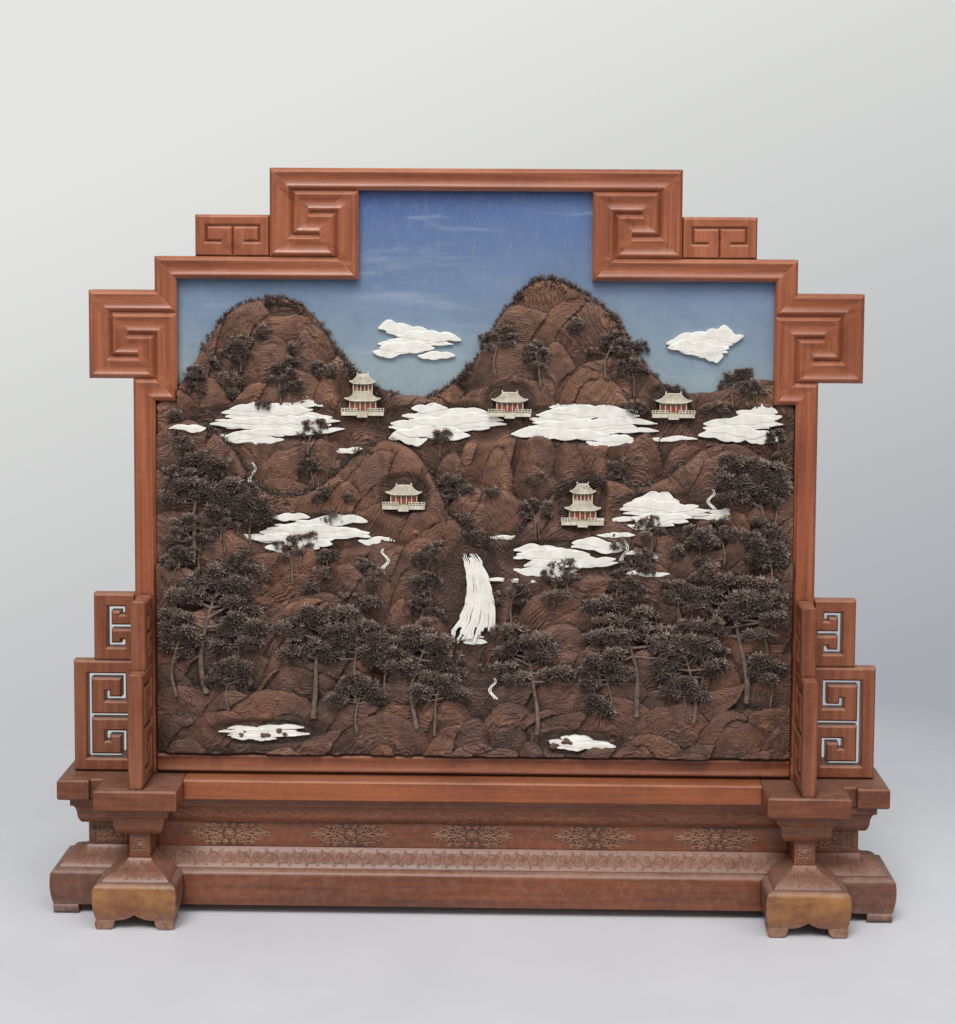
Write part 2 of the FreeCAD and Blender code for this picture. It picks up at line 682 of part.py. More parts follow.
# Flat clouds: place, width and the face that they lie on
cloud_banks = ((-0.18, 0.87, 230, sky_front), (0.72, 0.87, 200, sky_front), (-0.62, 0.70, 360, far_front),
               (-0.10, 0.70, 320, far_front), (0.34, 0.70, 380, far_front), (0.83, 0.70, 230, far_front),
               (-0.50, 0.47, 300, middle_front), (0.30, 0.42, 290, middle_front),
               (0.61, 0.52, 250, middle_front))
# Bars of a cloud from the top: share of its width and shift along it
cloud_bars = ((0.62, 0.10), (1.0, 0.0), (0.5, -0.16))
cloud_lap = 0.85


def clouds():
    height = value("cloud_height")
    solids = []
    for across, up, width, front in cloud_banks:
        middle = spot(across, up, front)
        bars = []
        for row, (share, shift) in enumerate(cloud_bars):
            place = middle + Vector(shift * width, 0, (1 - row) * height * cloud_lap)
            bars.append(stadium(place, share * width, height, value("inlay_thickness")))
        solids.append(fused(bars))
    solid_feature("cloud_inlays", solids)


# Small halls with curved eaves: place, number of roofs and the face that they stand on
halls = ((-0.35, 0.725, 2, far_front), (0.11, 0.725, 1, far_front), (0.62, 0.725, 1, far_front),
         (-0.22, 0.53, 1, middle_front), (0.34, 0.50, 2, middle_front))
storey_share = 0.72
ridge_share = 0.38
roof_lap = 0.3


def pavilions():
    width = value("pavilion_width")
    wall, roof, overhang = value("pavilion_wall"), value("pavilion_roof"), value("eave_overhang")
    depth = Vector(0, -value("pavilion_thickness"), 0)
    sag = Vector(0, 0, -value("eave_sag"))
    solids = []
    for across, up, roofs, front in halls:
        foot = spot(across, up, front)
        pieces = []
        for storey in range(roofs):
            half = width / 2 * storey_share ** storey
            low = foot + Vector(0, 0, storey * (wall + roof * (1 - roof_lap)))
            eave = low + Vector(0, 0, wall)
            inside = Vector(half - overhang, 0, 0)
            walls = [low - inside, low + inside, eave + inside, eave - inside]
            pieces.append(Part.Face(Part.makePolygon(walls + walls[:1])).extrude(depth))
            left, right = eave + Vector(-half, 0, 0), eave + Vector(half, 0, 0)
            ridge_left = eave + Vector(-half * ridge_share, 0, roof)
            ridge_right = eave + Vector(half * ridge_share, 0, roof)
            rim = Part.Wire([
                Part.LineSegment(left, right).toShape(),
                Part.Arc(right, (right + ridge_right) / 2 + sag, ridge_right).toShape(),
                Part.LineSegment(ridge_right, ridge_left).toShape(),
                Part.Arc(ridge_left, (left + ridge_left) / 2 + sag, left).toShape()])
            pieces.append(Part.Face(rim).extrude(depth))
        solids.append(fused(pieces))
    solid_feature("pavilions", solids)


# Leaning pines: place of the root, side of the lean, share of the full height and the face behind them
trees = ((-0.84, 0.13, 1, 1.0, near_front), (-0.50, 0.08, 1, 0.9, near_front),
         (-0.18, 0.06, 1, 0.8, near_front), (0.20, 0.05, -1, 0.8, near_front),
         (0.52, 0.09, -1, 0.9, near_front), (0.86, 0.12, -1, 1.0, near_front),
         (-0.88, 0.42, 1, 0.8, middle_front), (0.90, 0.42, -1, 0.8, middle_front))
# Layers of needles from the top: place along the trunk and share of the height
needle_layers = ((1.0, 0.42), (0.80, 0.72), (0.60, 0.56))
trunk_middle_share = 0.7
trunk_top_share = 0.4


def pines():
    thick = value("pine_thickness")
    tall = value("pine_height")
    needles = value("needle_height")
    wide = Vector(value("trunk_half"), 0, 0)
    solids = []
    for across, up, lean, size, front in trees:
        root = spot(across, up, front)
        crown = root + Vector(lean * value("pine_lean"), 0, size * tall - needles / 2)
        bend = (root + crown) / 2 + Vector(-lean * value("pine_bend"), 0, 0)
        waist, tip = wide * trunk_middle_share, wide * trunk_top_share
        rim = Part.Wire([
            Part.LineSegment(root - wide, root + wide).toShape(),
            Part.Arc(root + wide, bend + waist, crown + tip).toShape(),
            Part.LineSegment(crown + tip, crown - tip).toShape(),
            Part.Arc(crown - tip, bend - waist, root - wide).toShape()])
        pieces = [Part.Face(rim).extrude(Vector(0, -thick, 0))]
        for share, span in needle_layers:
            middle = root + (crown - root) * share
            pieces.append(stadium(middle, span * size * tall, needles, thick))
        solids.append(fused(pieces))
    solid_feature("pines", solids)


# Pale fall of water in the valley: its middle line from the top, and half widths
fall_course = ((-0.02, 0.43, 0.016), (0.02, 0.33, 0.042), (-0.01, 0.24, 0.07))
# Pools among the near rocks: place and width
pools = ((-0.66, 0.045, 230), (0.34, 0.03, 180))


def water():
    sides = []
    for sign in (-1, 1):
        bank = Part.BSplineCurve()
        bank.interpolate([spot(across + sign * half, up, middle_front) for across, up, half in fall_course])
        sides.append(bank)
    rim = Part.Wire([sides[0].toShape(),
                     Part.LineSegment(sides[0].EndPoint, sides[1].EndPoint).toShape(),
                     sides[1].toShape(),
                     Part.LineSegment(sides[1].StartPoint, sides[0].StartPoint).toShape()])
    fall = Part.Face(rim).extrude(Vector(0, -value("inlay_thickness"), 0))
    level = [stadium(spot(across, up, near_front), width, value("cloud_height"), value("inlay_thickness"))
             for across, up, width in pools]
    solid_feature("water_inlays", [fall] + level)


# Ridge lines of the three carved layers, from left to right
far_ridge = ((-1.02, 0.74), (-0.90, 0.80), (-0.78, 0.92), (-0.66, 0.96), (-0.54, 0.94), (-0.42, 0.84),
             (-0.30, 0.77), (-0.14, 0.76), (-0.02, 0.82), (0.09, 0.94), (0.20, 1.00), (0.33, 0.98),
             (0.46, 0.90), (0.58, 0.79), (0.74, 0.77), (0.88, 0.80), (1.02, 0.74))
middle_ridge = ((-1.02, 0.66), (-0.90, 0.70), (-0.78, 0.66), (-0.66, 0.56), (-0.52, 0.55), (-0.38, 0.63),
                (-0.26, 0.66), (-0.14, 0.60), (-0.02, 0.48), (0.12, 0.47), (0.24, 0.55), (0.40, 0.59),
                (0.52, 0.57), (0.64, 0.61), (0.76, 0.66), (0.90, 0.64), (1.02, 0.56))
near_ridge = ((-1.02, 0.40), (-0.88, 0.38), (-0.74, 0.30), (-0.60, 0.32), (-0.46, 0.34), (-0.32, 0.28),
              (-0.18, 0.20), (-0.04, 0.18), (0.10, 0.20), (0.24, 0.28), (0.38, 0.32), (0.52, 0.28),
              (0.66, 0.26), (0.80, 0.34), (0.92, 0.40), (1.02, 0.42))


def picture():
    ridge_layer("far_mountains", far_ridge, far_front, "far_thickness")
    ridge_layer("middle_mountains", middle_ridge, middle_front, "middle_thickness")
    ridge_layer("near_rocks", near_ridge, near_front, "near_thickness")
    clouds()
    pavilions()
    pines()
    water()


# Moulded stand: five stacked layers that wrap round a cross plan under each stile

arm_sides = {"slab": "arm_half", "foot": "arm_half", "waist": "(arm_half - arm_waist_inset)"}
arm_ends = {"slab": "arm_reach", "foot": "(arm_reach + foot_overhang)",
            "waist": "(arm_reach - end_waist_inset)"}
side_ends = {"slab": side_end, "foot": "(%s + foot_overhang)" % side_end,
             "waist": "(%s - end_waist_inset)" % side_end}
beam_faces = {"slab": "beam_half", "foot": "(beam_half + beam_overhang)",
              "waist": "(beam_half - beam_waist_inset)"}
neck_sides = {"slab": "neck_half"}
layers = ("slab", "upper_lotus", "waist", "lower_lotus", "foot")
tenoned = {"slab": (slab_bottom + " + slab_height / 2", arm_sides["slab"]),
           "waist": (slope_top + " + waist_height / 2", arm_sides["waist"]),
           "foot": ("pad_height + foot_height / 2", arm_sides["foot"])}


def moulding(layer, edge):
    # Half widths and levels of a layer from the bottom up, with its curved runs (1 hollow, -1 round).
    if layer == "slab":
        slab = edge["slab"]
        return [("(%s - slab_bevel)" % slab, slab_bottom), (slab, slab_bottom + " + slab_bevel"),
                (slab, base_top + " - slab_bevel"), ("(%s - slab_bevel)" % slab, base_top)], {}
    if layer == "upper_lotus":
        top = "(%s - lotus_inset)" % edge["slab"]
        fillet = "(%s - fillet_inset)" % edge["slab"]
        return [("(%s - lotus_run)" % top, waist_top),
                ("(%s - lotus_run / 2)" % top, waist_top + " + lotus_height / 2"),
                (top, lotus_top), (fillet, lotus_top), (fillet, slab_bottom)], \
            {0: ("lotus_radius", -1), 1: ("lotus_radius", 1)}
    if layer == "waist":
        return [(edge["waist"], slope_top), (edge["waist"], waist_top)], {}
    if layer == "lower_lotus":
        outer = "(%s - slope_inset)" % edge["foot"]
        inner = "(%s + slope_step)" % edge["waist"]
        return [(outer, foot_top), ("((%s + %s) / 2)" % (outer, inner), foot_top + " + slope_height / 2"),
                (inner, slope_top)], {0: ("slope_radius", -1), 1: ("slope_radius", 1)}
    foot = edge["foot"]
    return [("(%s - foot_tuck)" % foot, "pad_height"), (foot, foot_top + " - foot_shoulder"),
            ("(%s - foot_shoulder)" % foot, foot_top)], {0: ("foot_radius", -1), 1: ("foot_shoulder", -1)}


def cross_section(layer, edge, centre="0"):
    # Closed section of a layer, symmetrical about its centre.
    profile, curves = moulding(layer, edge)
    count = len(profile)
    right = [("%s + %s" % (centre, half), level) for half, level in profile]
    left = [("%s - %s" % (centre, half), level) for half, level in profile]
    arcs = dict(curves)
    for run, curve in curves.items():
        arcs[2 * count - 2 - run] = curve
    return right + left[::-1], arcs


def waste(layer, edge, sign, limit, centre="0"):
    # What lies outside a layer's moulded end, out to a limit.
    profile, curves = moulding(layer, edge)
    points = [("%s + %d * %s" % (centre, sign, half), level) for half, level in profile]
    points += [(limit, profile[-1][1]), (limit, profile[0][1])]
    arcs = {run: (radius, bulge * sign) for run, (radius, bulge) in curves.items()}
    return points, arcs


def arch(centre):
    # Pointed arch between two pads.
    return [("%s - arch_half" % centre, "pad_height"), (centre, "pad_height + arch_rise"),
            ("%s + arch_half" % centre, "pad_height"), ("%s + arch_half" % centre, "pad_height - overcut"),
            ("%s - arch_half" % centre, "pad_height - overcut")], \
        {0: ("arch_radius", -1), 1: ("arch_radius", -1)}


def beam_tenon(layer, side, clearance, root):
    # Tenon of the long beam in the side of a pedestal; it starts at its root inside the beam.
    level, half = tenoned[layer]
    face = "%s - %s" % (arm_middle, half)
    return mirrored(side, rectangle("%s - %s" % (face, root),
                                    "%s - beam_tenon_height / 2 - %s" % (level, clearance),
                                    "%s + beam_tenon_length + %s" % (face, clearance),
                                    "%s + beam_tenon_height / 2 + %s" % (level, clearance)))


def dowel_spots(side):
    middle = along_x(side, arm_middle)
    outer = along_x(side, arm_middle + " + dowel_reach")
    return [(middle, "-dowel_reach"), (middle, "dowel_reach"), (outer, "0")]


beam_dowel_spots = [("-dowel_spacing", "0"), ("0", "0"), ("dowel_spacing", "0")]
dowel_low = "(pad_height + dowel_cover)"
dowel_high = "(%s - dowel_cover)" % base_top


def drill(body, spots):
    # Dowel holes, blind at the dowels' ends.
    for across, deep in spots:
        drawing = empty_sketch(body, "XY_Plane", dowel_low)
        radius = "dowel_radius + fit / 2"
        centre = Vector(value(across), value(deep), 0)
        number = drawing.addGeometry(Part.Circle(centre, Vector(0, 0, 1), value(radius)), False)
        drawing.addConstraint(Sketcher.Constraint("Radius", number, value(radius)))
        drawing.addConstraint(Sketcher.Constraint("DistanceX", -1, 1, number, 3, value(across)))
        drawing.addConstraint(Sketcher.Constraint("DistanceY", -1, 1, number, 3, value(deep)))
        for index, expression in enumerate((radius, across, deep)):
            drawing.setExpression("Constraints[%d]" % index, bound(expression))
        pocket(body, drawing, "%s - %s" % (dowel_high, dowel_low), symmetric=False, reverse=True)


def pedestal_layer(side, layer):
    body = new_body("%s_pedestal_%s" % (side_name(side), layer))
    centre = along_x(side, arm_middle)
    end_limit = "(arm_reach + foot_overhang + 2 * overcut)"
    side_limit = "(%s + foot_overhang + 2 * overcut)" % side_end
    points, arcs = cross_section(layer, arm_sides, centre)
    pad(body, sketch(body, "XZ_Plane", points, arcs), "2 * (arm_reach + foot_overhang + overcut)")
    for sign in (-1, 1):
        points, arcs = waste(layer, arm_ends, sign, along_x(sign, end_limit))
        pocket(body, sketch(body, "YZ_Plane", points, arcs))
    necks = [(neck_sides, arm_middle), (arm_sides, side_end + " - end_block")] if layer == "slab" \
        else [(arm_sides, arm_middle)]
    for edge, start in necks:
        points, arcs = cross_section(layer, edge)
        drawing = sketch(body, "YZ_Plane", points, arcs, along_x(side, start))
        length = "%s + foot_overhang + overcut - (%s)" % (side_end, start)
        pad(body, drawing, length, symmetric=False, reverse=side < 0)
    points, arcs = waste(layer, side_ends, side, along_x(side, side_limit))
    pocket(body, sketch(body, "XZ_Plane", points, arcs))
    if layer == "foot":
        points, arcs = arch(centre)
        pocket(body, sketch(body, "XZ_Plane", points, arcs))
        points, arcs = arch("0")
        pocket(body, sketch(body, "YZ_Plane", points, arcs))
    if layer in tenoned:
        mortise = beam_tenon(layer, side, "fit", "foot_tuck")
        pocket(body, sketch(body, "XZ_Plane", mortise), "beam_tenon_thickness + 2 * fit")
    drill(body, dowel_spots(side))
    if layer == "slab":
        cut_bracket_mortises(body, side)
        foot = rectangle("stile_half - band / 2 - stile_tenon_width / 2 - fit",
                         base_top + " - stile_tenon_length - fit",
                         "stile_half - band / 2 + stile_tenon_width / 2 + fit", base_top + " + overcut")
        pocket(body, sketch(body, "XZ_Plane", mirrored(side, foot)), "stile_tenon_thickness + 2 * fit")


def long_layer(layer):
    body = new_body("long_" + {"foot": "foot_beam"}.get(layer, layer))
    points, arcs = cross_section(layer, beam_faces)
    pad(body, sketch(body, "YZ_Plane", points, arcs), "2 * " + arm_middle)
    for side in (-1, 1):
        if layer == "slab":
            face = "%s - arm_half" % arm_middle
            points = mirrored(side, rectangle(face, slab_bottom, arm_middle + " + overcut", base_top))
            arcs = {}
        else:
            limit = along_x(side, arm_middle + " + overcut")
            points, arcs = waste(layer, arm_sides, -side, limit, along_x(side, arm_middle))
        pocket(body, sketch(body, "XZ_Plane", points, arcs))
        if layer in tenoned:
            tenon = beam_tenon(layer, side, "0", "beam_tenon_length")
            pad(body, sketch(body, "XZ_Plane", tenon), "beam_tenon_thickness")
    drill(body, beam_dowel_spots)


def stand_dowels():
    dowels = []
    spots = dowel_spots(-1) + dowel_spots(1) + beam_dowel_spots
    for number, (across, deep) in enumerate(spots):
        peg = doc.addObject("Part::Cylinder", "Dowel%d" % number)
        peg.setExpression("Radius", bound("dowel_radius"))
        peg.setExpression("Height", bound("%s - %s" % (dowel_high, dowel_low)))
        for axis, expression in zip("xyz", (across, deep, dowel_low)):
            peg.setExpression("Placement.Base." + axis, bound(expression))
        dowels.append(peg)
    group("stand_dowels", dowels)


def scrolled_pad(name, plane, edge, sign, face, inward):
    # Pad with a rounded outside and a swept inside; face is the end of the arm that it stands under.
    body = doc.addObject("PartDesign::Body", name)
    outer = "%s + %d * (arm_half - foot_tuck)" % (edge, sign)
    points = [("%s - %d * pad_width" % (outer, sign), "pad_height"),
              ("%s - %d * (pad_curl + pad_tread)" % (outer, sign), "0"),
              ("%s - %d * pad_curl" % (outer, sign), "0"), (outer, "pad_height")]
    arcs = {0: ("2 * pad_radius", -sign), 2: ("pad_radius", -sign)}
    pad(body, sketch(body, plane, points, arcs, face), "pad_depth", symmetric=False, reverse=inward)
    return body


def pedestal_pads(side):
    pads = []
    centre = along_x(side, arm_middle)
    for sign in (-1, 1):
        for end in (-1, 1):
            name = "Pad%s%d%d" % (side_name(side), sign, end)
            face = along_x(end, "arm_reach + foot_overhang - foot_tuck")
            pads.append(scrolled_pad(name, "XZ_Plane", centre, sign, face, end > 0))
        name = "Pad%s%d" % (side_name(side), sign)
        face = along_x(side, side_end + " + foot_overhang - foot_tuck")
        pads.append(scrolled_pad(name, "YZ_Plane", "0", sign, face, side > 0))
    group(side_name(side) + "_foot_pads", pads)


# Pierced brackets round each stile: side, front and back, in two tiers

def bracket_places(side):
    # Name, plane, offset of that plane, inner edge, outward sign and reaches of the two tiers.
    middle = along_x(side, arm_middle)
    front = "(%s + fit)" % frame_front
    return (("side", "XZ_Plane", None, along_x(side, "stile_half + fit"), side, "side_lower_reach",
             "side_upper_reach"),
            ("front", "YZ_Plane", middle, "-1 * " + front, -1, "front_lower_reach", "front_upper_reach"),
            ("back", "YZ_Plane", middle, "1 * " + front, 1, "front_lower_reach", "front_upper_reach"))


def bracket_tenon(inner, outward, reach, seat, clearance, above="0"):
    # Tenon below a tier, down from its seat.
    near = "%s + %d * (%s / 2 - bracket_tenon_width / 2 - %s)" % (inner, outward, reach, clearance)
    far = "%s + %d * (%s / 2 + bracket_tenon_width / 2 + %s)" % (inner, outward, reach, clearance)
    bottom = "%s - bracket_tenon_length - %s" % (seat, clearance)
    return rectangle(near, bottom, far, "%s + %s" % (seat, above))


def cut_bracket_mortises(body, side):
    for place in bracket_places(side):
        plane, offset, inner, outward, reach = place[1:6]
        mortise = bracket_tenon(inner, outward, reach, base_top, "fit", "overcut")
        pocket(body, sketch(body, plane, mortise, offset=offset), "bracket_tenon_thickness + 2 * fit")


def bracket_slots(inner, outward, reach, low, high, hooked):
    # The long slot with its two hooks, and the middle slot.
    half_slot = "bracket_slot / 2"
    main = "%s + %d * (%s - bracket_bar - %s)" % (inner, outward, reach, half_slot)
    near = "%s + %d * (bracket_inner_bar + %s)" % (inner, outward, half_slot)
    hook = "%s - %d * hook_back" % (main, outward)
    stop = "%s + %d * slot_stop" % (inner, outward)
    top = "%s - bracket_bar - %s" % (high, half_slot)
    bottom = "%s + bracket_bar + %s" % (low, half_slot)
    if hooked:
        upper = [(hook, top + " - hook_drop + hook_rise"), (hook, top + " - hook_drop"),
                 (near, top + " - hook_drop")]
        lower = [(near, bottom + " + hook_drop"), (hook, bottom + " + hook_drop"),
                 (hook, bottom + " + hook_drop - hook_rise")]
    else:
        upper = [(near, top + " - short_hook")]
        lower = [(near, bottom + " + short_hook")]
    middle = "(%s + %s) / 2" % (low, high)
    return (upper + [(near, top), (main, top), (main, bottom), (near, bottom)] + lower,
            [(main, middle), (stop, middle)])


def bracket_tier(label, place, lower_tier):
    plane, offset, inner, outward, lower_reach, upper_reach = place[1:]
    joint = "(%s + lower_tier_height)" % base_top
    low, high = (base_top, joint) if lower_tier else (joint, "(%s + upper_tier_height)" % joint)
    reach = lower_reach if lower_tier else upper_reach
    body = new_body(label)
    outline = rectangle(inner, low, "%s + %d * %s" % (inner, outward, reach), high)
    pad(body, sketch(body, plane, outline, offset=offset), "bracket_thickness")
    for path in bracket_slots(inner, outward, reach, low, high, lower_tier):
        pocket(body, sketch(body, plane, ribbon(path, "bracket_slot / 2"), offset=offset))
    across = "y" if plane == "XZ_Plane" else "x"
    for sign in (-1, 1):
        level = (value(offset) if offset else 0) + sign * value("bracket_thickness") / 2
        bevel_front(body, level, "bracket_bevel", across=across)
    if lower_tier:
        mortise = bracket_tenon(inner, outward, upper_reach, high, "fit", "overcut")
        pocket(body, sketch(body, plane, mortise, offset=offset), "bracket_tenon_thickness + 2 * fit")
    tenon = bracket_tenon(inner, outward, reach, low, "0")
    pad(body, sketch(body, plane, tenon, offset=offset), "bracket_tenon_thickness")


def brackets(side):
    for place in bracket_places(side):
        label = "%s_%s_bracket_" % (side_name(side), place[0])
        bracket_tier(label + "lower", place, True)
        bracket_tier(label + "upper", place, False)


def build_stand():
    for layer in layers:
        long_layer(layer)
    for side in (-1, 1):
        for layer in layers:
            pedestal_layer(side, layer)
        pedestal_pads(side)
        brackets(side)
    stand_dowels()


def build_screen():
    top_rail()
    bottom_rail()
    for side in (-1, 1):
        head_fret(side)
        shoulder_rail(side)
        shoulder_fret(side)
        upper_stile(side)
        wing_fret(side)
        lower_stile(side)
    mitre_keys()
    sky_board()
    back_battens()
    back_boards()
    picture()


def write_parts():
    doc.recompute()
    for item in doc.Objects:
        if "Invalid" in item.State or "Error" in item.State:
            raise RuntimeError("%s did not build" % item.Label)
    for piece in sub_parts:
        if piece.Shape.isNull() or not piece.Shape.isValid():
            raise RuntimeError("%s has no valid shape" % piece.Label)
    os.makedirs("parts", exist_ok=True)
    for piece in sub_parts:
        piece.Shape.exportStep("parts/%s.step" % piece.Label)


build_screen()
build_stand()
write_parts()
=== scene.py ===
import math

import bmesh
import bpy
import numpy as np
from mathutils import Matrix, Vector, noise
from mathutils.bvhtree import BVHTree


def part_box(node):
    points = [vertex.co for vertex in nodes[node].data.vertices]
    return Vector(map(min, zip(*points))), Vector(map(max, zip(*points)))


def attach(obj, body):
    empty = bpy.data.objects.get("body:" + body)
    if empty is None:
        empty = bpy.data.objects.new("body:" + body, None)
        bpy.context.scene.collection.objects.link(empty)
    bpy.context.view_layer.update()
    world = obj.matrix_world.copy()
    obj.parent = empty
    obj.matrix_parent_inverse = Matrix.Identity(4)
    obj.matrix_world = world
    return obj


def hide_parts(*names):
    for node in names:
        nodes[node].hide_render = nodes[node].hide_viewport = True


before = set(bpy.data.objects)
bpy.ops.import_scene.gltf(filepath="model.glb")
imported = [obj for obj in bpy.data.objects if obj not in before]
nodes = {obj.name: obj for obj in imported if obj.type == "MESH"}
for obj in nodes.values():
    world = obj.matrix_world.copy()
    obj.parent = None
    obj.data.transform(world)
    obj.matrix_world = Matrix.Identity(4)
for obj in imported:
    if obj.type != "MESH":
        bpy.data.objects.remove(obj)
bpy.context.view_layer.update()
scene = bpy.context.scene
beyond = {"x": 1.4, "y": 0.5}  # metres, clear of the object
farOff = 9.0  # metres, past everything
print("frame:", len(nodes), "solids")


# Camera

cameraSetup = {
    "place": (0.096, -4.75, 1.709),  # metres
    "yaw": 1.08, "pitch": -4.5, "roll": 0.32,  # degrees
    "lens": 67.7, "sensor": 36,  # millimetres
    "shift": -0.13,  # share of the picture's width
}


def setCamera(setup):
    yaw, pitch, roll = (math.radians(setup[key]) for key in ("yaw", "pitch", "roll"))
    forward = Vector((-math.sin(yaw) * math.cos(pitch), math.cos(yaw) * math.cos(pitch), math.sin(pitch)))
    level = Vector((math.cos(yaw), math.sin(yaw), 0))
    upright = level.cross(forward)
    right = level * math.cos(roll) + upright * math.sin(roll)
    up = upright * math.cos(roll) - level * math.sin(roll)
    lens = bpy.data.cameras.new("camera")
    lens.lens = setup["lens"]
    lens.sensor_width = setup["sensor"]
    lens.shift_y = setup["shift"]
    camera = bpy.data.objects.new("camera", lens)
    turn = Matrix((right, up, -forward)).transposed().to_4x4()
    camera.matrix_world = Matrix.Translation(setup["place"]) @ turn
    scene.collection.objects.link(camera)
    scene.camera = camera


def paint(red, green, blue):
    # Screen colour, 0 to 255, to linear light
    shares = [channel / 255 for channel in (red, green, blue)]
    return tuple(s / 12.92 if s <= 0.04045 else ((s + 0.055) / 1.055) ** 2.4 for s in shares) + (1.0,)


# Shader sockets with arithmetic, and one method for every other node

class Wire:
    def __init__(self, graph, socket):
        self.graph = graph
        self.socket = socket

    def maths(self, operation, first, second=0.0):
        return self.graph.node("Math", {"operation": operation}, {0: first, 1: second})

    def __add__(self, other):
        return self.maths("ADD", self, other)

    def __sub__(self, other):
        return self.maths("SUBTRACT", self, other)

    def __rsub__(self, other):
        return self.maths("SUBTRACT", other, self)

    def __mul__(self, other):
        return self.maths("MULTIPLY", self, other)

    def __truediv__(self, other):
        return self.maths("DIVIDE", self, other)

    def __abs__(self):
        return self.maths("ABSOLUTE", self)


class Graph:
    def __init__(self, tree):
        self.tree = tree

    def feed(self, socket, value):
        if isinstance(value, Wire):
            self.tree.links.new(value.socket, socket)
        else:
            socket.default_value = value

    def node(self, kind, settings=None, inputs=None, output=0):
        made = self.tree.nodes.new("ShaderNode" + kind)
        for key, value in (settings or {}).items():
            setattr(made, key, value)
        for key, value in (inputs or {}).items():
            self.feed(made.inputs[key], value)
        return Wire(self, made.outputs[output])

    def blend(self, share, first, second):
        return self.node("Mix", {"data_type": "RGBA"}, {0: share, 6: first, 7: second}, output=2)

    def part(self, vector, axis):
        return self.node("SeparateXYZ", {}, {"Vector": vector}, output=axis)

    def noise(self, vector, scale, detail=3.0, roughness=0.55, distortion=0.0):
        return self.node("TexNoise", {}, {"Vector": vector, "Scale": scale, "Detail": detail,
                                          "Roughness": roughness, "Distortion": distortion})

    def stretched(self, vector, scale):
        return self.node("Mapping", {}, {"Vector": vector, "Scale": scale})

    def ramp(self, value, *stops):
        colour = self.node("ValToRGB", {}, {"Fac": value})
        elements = colour.socket.node.color_ramp.elements
        while len(elements) < len(stops):
            elements.new(1.0)
        for element, (position, tone) in zip(elements, stops):
            element.position = position
            element.color = tone
        return colour

    def span(self, value, low, high):
        return self.node("MapRange", {}, {"Value": value, "From Min": low, "From Max": high})


class Finish(Graph):
    def __init__(self, name):
        self.material = bpy.data.materials.new(name)
        self.material.use_nodes = True
        super().__init__(self.material.node_tree)
        self.shader = self.tree.nodes["Principled BSDF"]

    def place(self):
        return self.node("TexCoord", output="Object")

    def carried(self, name):
        # A value that the mesh carries
        return self.node("Attribute", {"attribute_name": name}, output="Fac")

    def upward(self):
        return self.part(self.node("NewGeometry", output="Normal"), "Z")

    def creviceShade(self, distance):
        # How much painted shade a corner gets: 0 in the open, towards 1 deep in a corner
        return 1 - self.node("AmbientOcclusion", {"samples": 6}, {"Distance": distance}, output="AO")

    def cornerShaded(self, colour, dark, distance, low, high, strength):
        # Painted shade: darker where the crevice value goes from low to high
        return self.blend(self.span(self.creviceShade(distance), low, high) * strength, colour, dark)

    def rounded(self, radius):
        # A normal that turns gently over the edges, and how far it turns there
        soft = self.node("Bevel", {"samples": 6}, {"Radius": radius})
        face = self.node("NewGeometry", output="Normal")
        kept = self.node("VectorMath", {"operation": "DOT_PRODUCT"}, {0: soft, 1: face}, output="Value")
        return soft, 1 - kept

    def bump(self, height, strength, distance, **normal):
        return self.node("Bump", {}, {"Height": height, "Strength": strength, "Distance": distance, **normal})

    def finished(self, **sockets):
        for name, value in sockets.items():
            self.feed(self.shader.inputs[name.replace("_", " ")], value)
        return self.material


# Finishes of the wood

# In each look the darkest colour is painted shade for corners and creases
frameLook = {
    "dark": paint(112, 56, 36), "middle": paint(153, 84, 54), "light": paint(184, 111, 77),
    "creviceShade": paint(42, 19, 13), "rubbed": paint(205, 136, 98), "dustColour": paint(190, 134, 104),
    "dust": 0.4, "roughness": 0.31, "coat": 0.45,
}
slabLook = {
    "dark": paint(96, 45, 23), "middle": paint(141, 72, 33), "light": paint(164, 91, 47),
    "creviceShade": paint(40, 18, 12), "rubbed": paint(196, 126, 80), "dustColour": paint(176, 122, 92),
    "dust": 0.5, "roughness": 0.33, "coat": 0.35,
}
bracketLook = {
    "dark": paint(92, 45, 28), "middle": paint(130, 72, 45), "light": paint(156, 94, 64),
    "creviceShade": paint(34, 16, 11), "rubbed": paint(184, 120, 82), "dustColour": paint(170, 124, 100),
    "dust": 0.6, "roughness": 0.36, "coat": 0.3,
}
standLook = {
    "dark": paint(74, 36, 19), "middle": paint(113, 58, 28), "light": paint(140, 77, 41),
    "creviceShade": paint(30, 15, 11), "rubbed": paint(166, 108, 76), "dustColour": paint(146, 117, 104),
    "dust": 1.0, "roughness": 0.40, "coat": 0.2,
    "ground": paint(46, 23, 15),  # between the ridges of a cartouche
}
pedestalLook = dict(standLook, dust=0.7)
# The stand's wood painted warmer and a little darker, as painted warm light bounced into the shade under the
# slab
lotusWarmShadeLook = dict(standLook, dark=paint(74, 35, 14), middle=paint(112, 56, 21), light=paint(136, 74, 31))
footLook = {
    "dark": paint(70, 39, 27), "middle": paint(100, 59, 42), "light": paint(124, 78, 56),
    "creviceShade": paint(34, 20, 14), "rubbed": paint(166, 118, 84), "dustColour": paint(160, 134, 122),
    "dust": 0.6, "roughness": 0.44, "coat": 0.1,
    "padLevel": 0.040,  # floor dust reaches this high
    "tanDark": paint(104, 60, 36), "tanLight": paint(158, 107, 54), "tanLow": paint(112, 64, 42),
    "tanFaces": (-0.197, -0.202),  # the worn front faces begin and are full here, metres to the front
    "tanLevels": (0.075, 0.025),  # metres above the floor
}
backLook = {
    "dark": paint(70, 42, 30), "middle": paint(104, 66, 46), "light": paint(128, 86, 60),
    "creviceShade": paint(30, 18, 12), "rubbed": paint(146, 104, 78), "dustColour": paint(140, 120, 106),
    "dust": 0.5, "roughness": 0.6, "coat": 0.0,
}
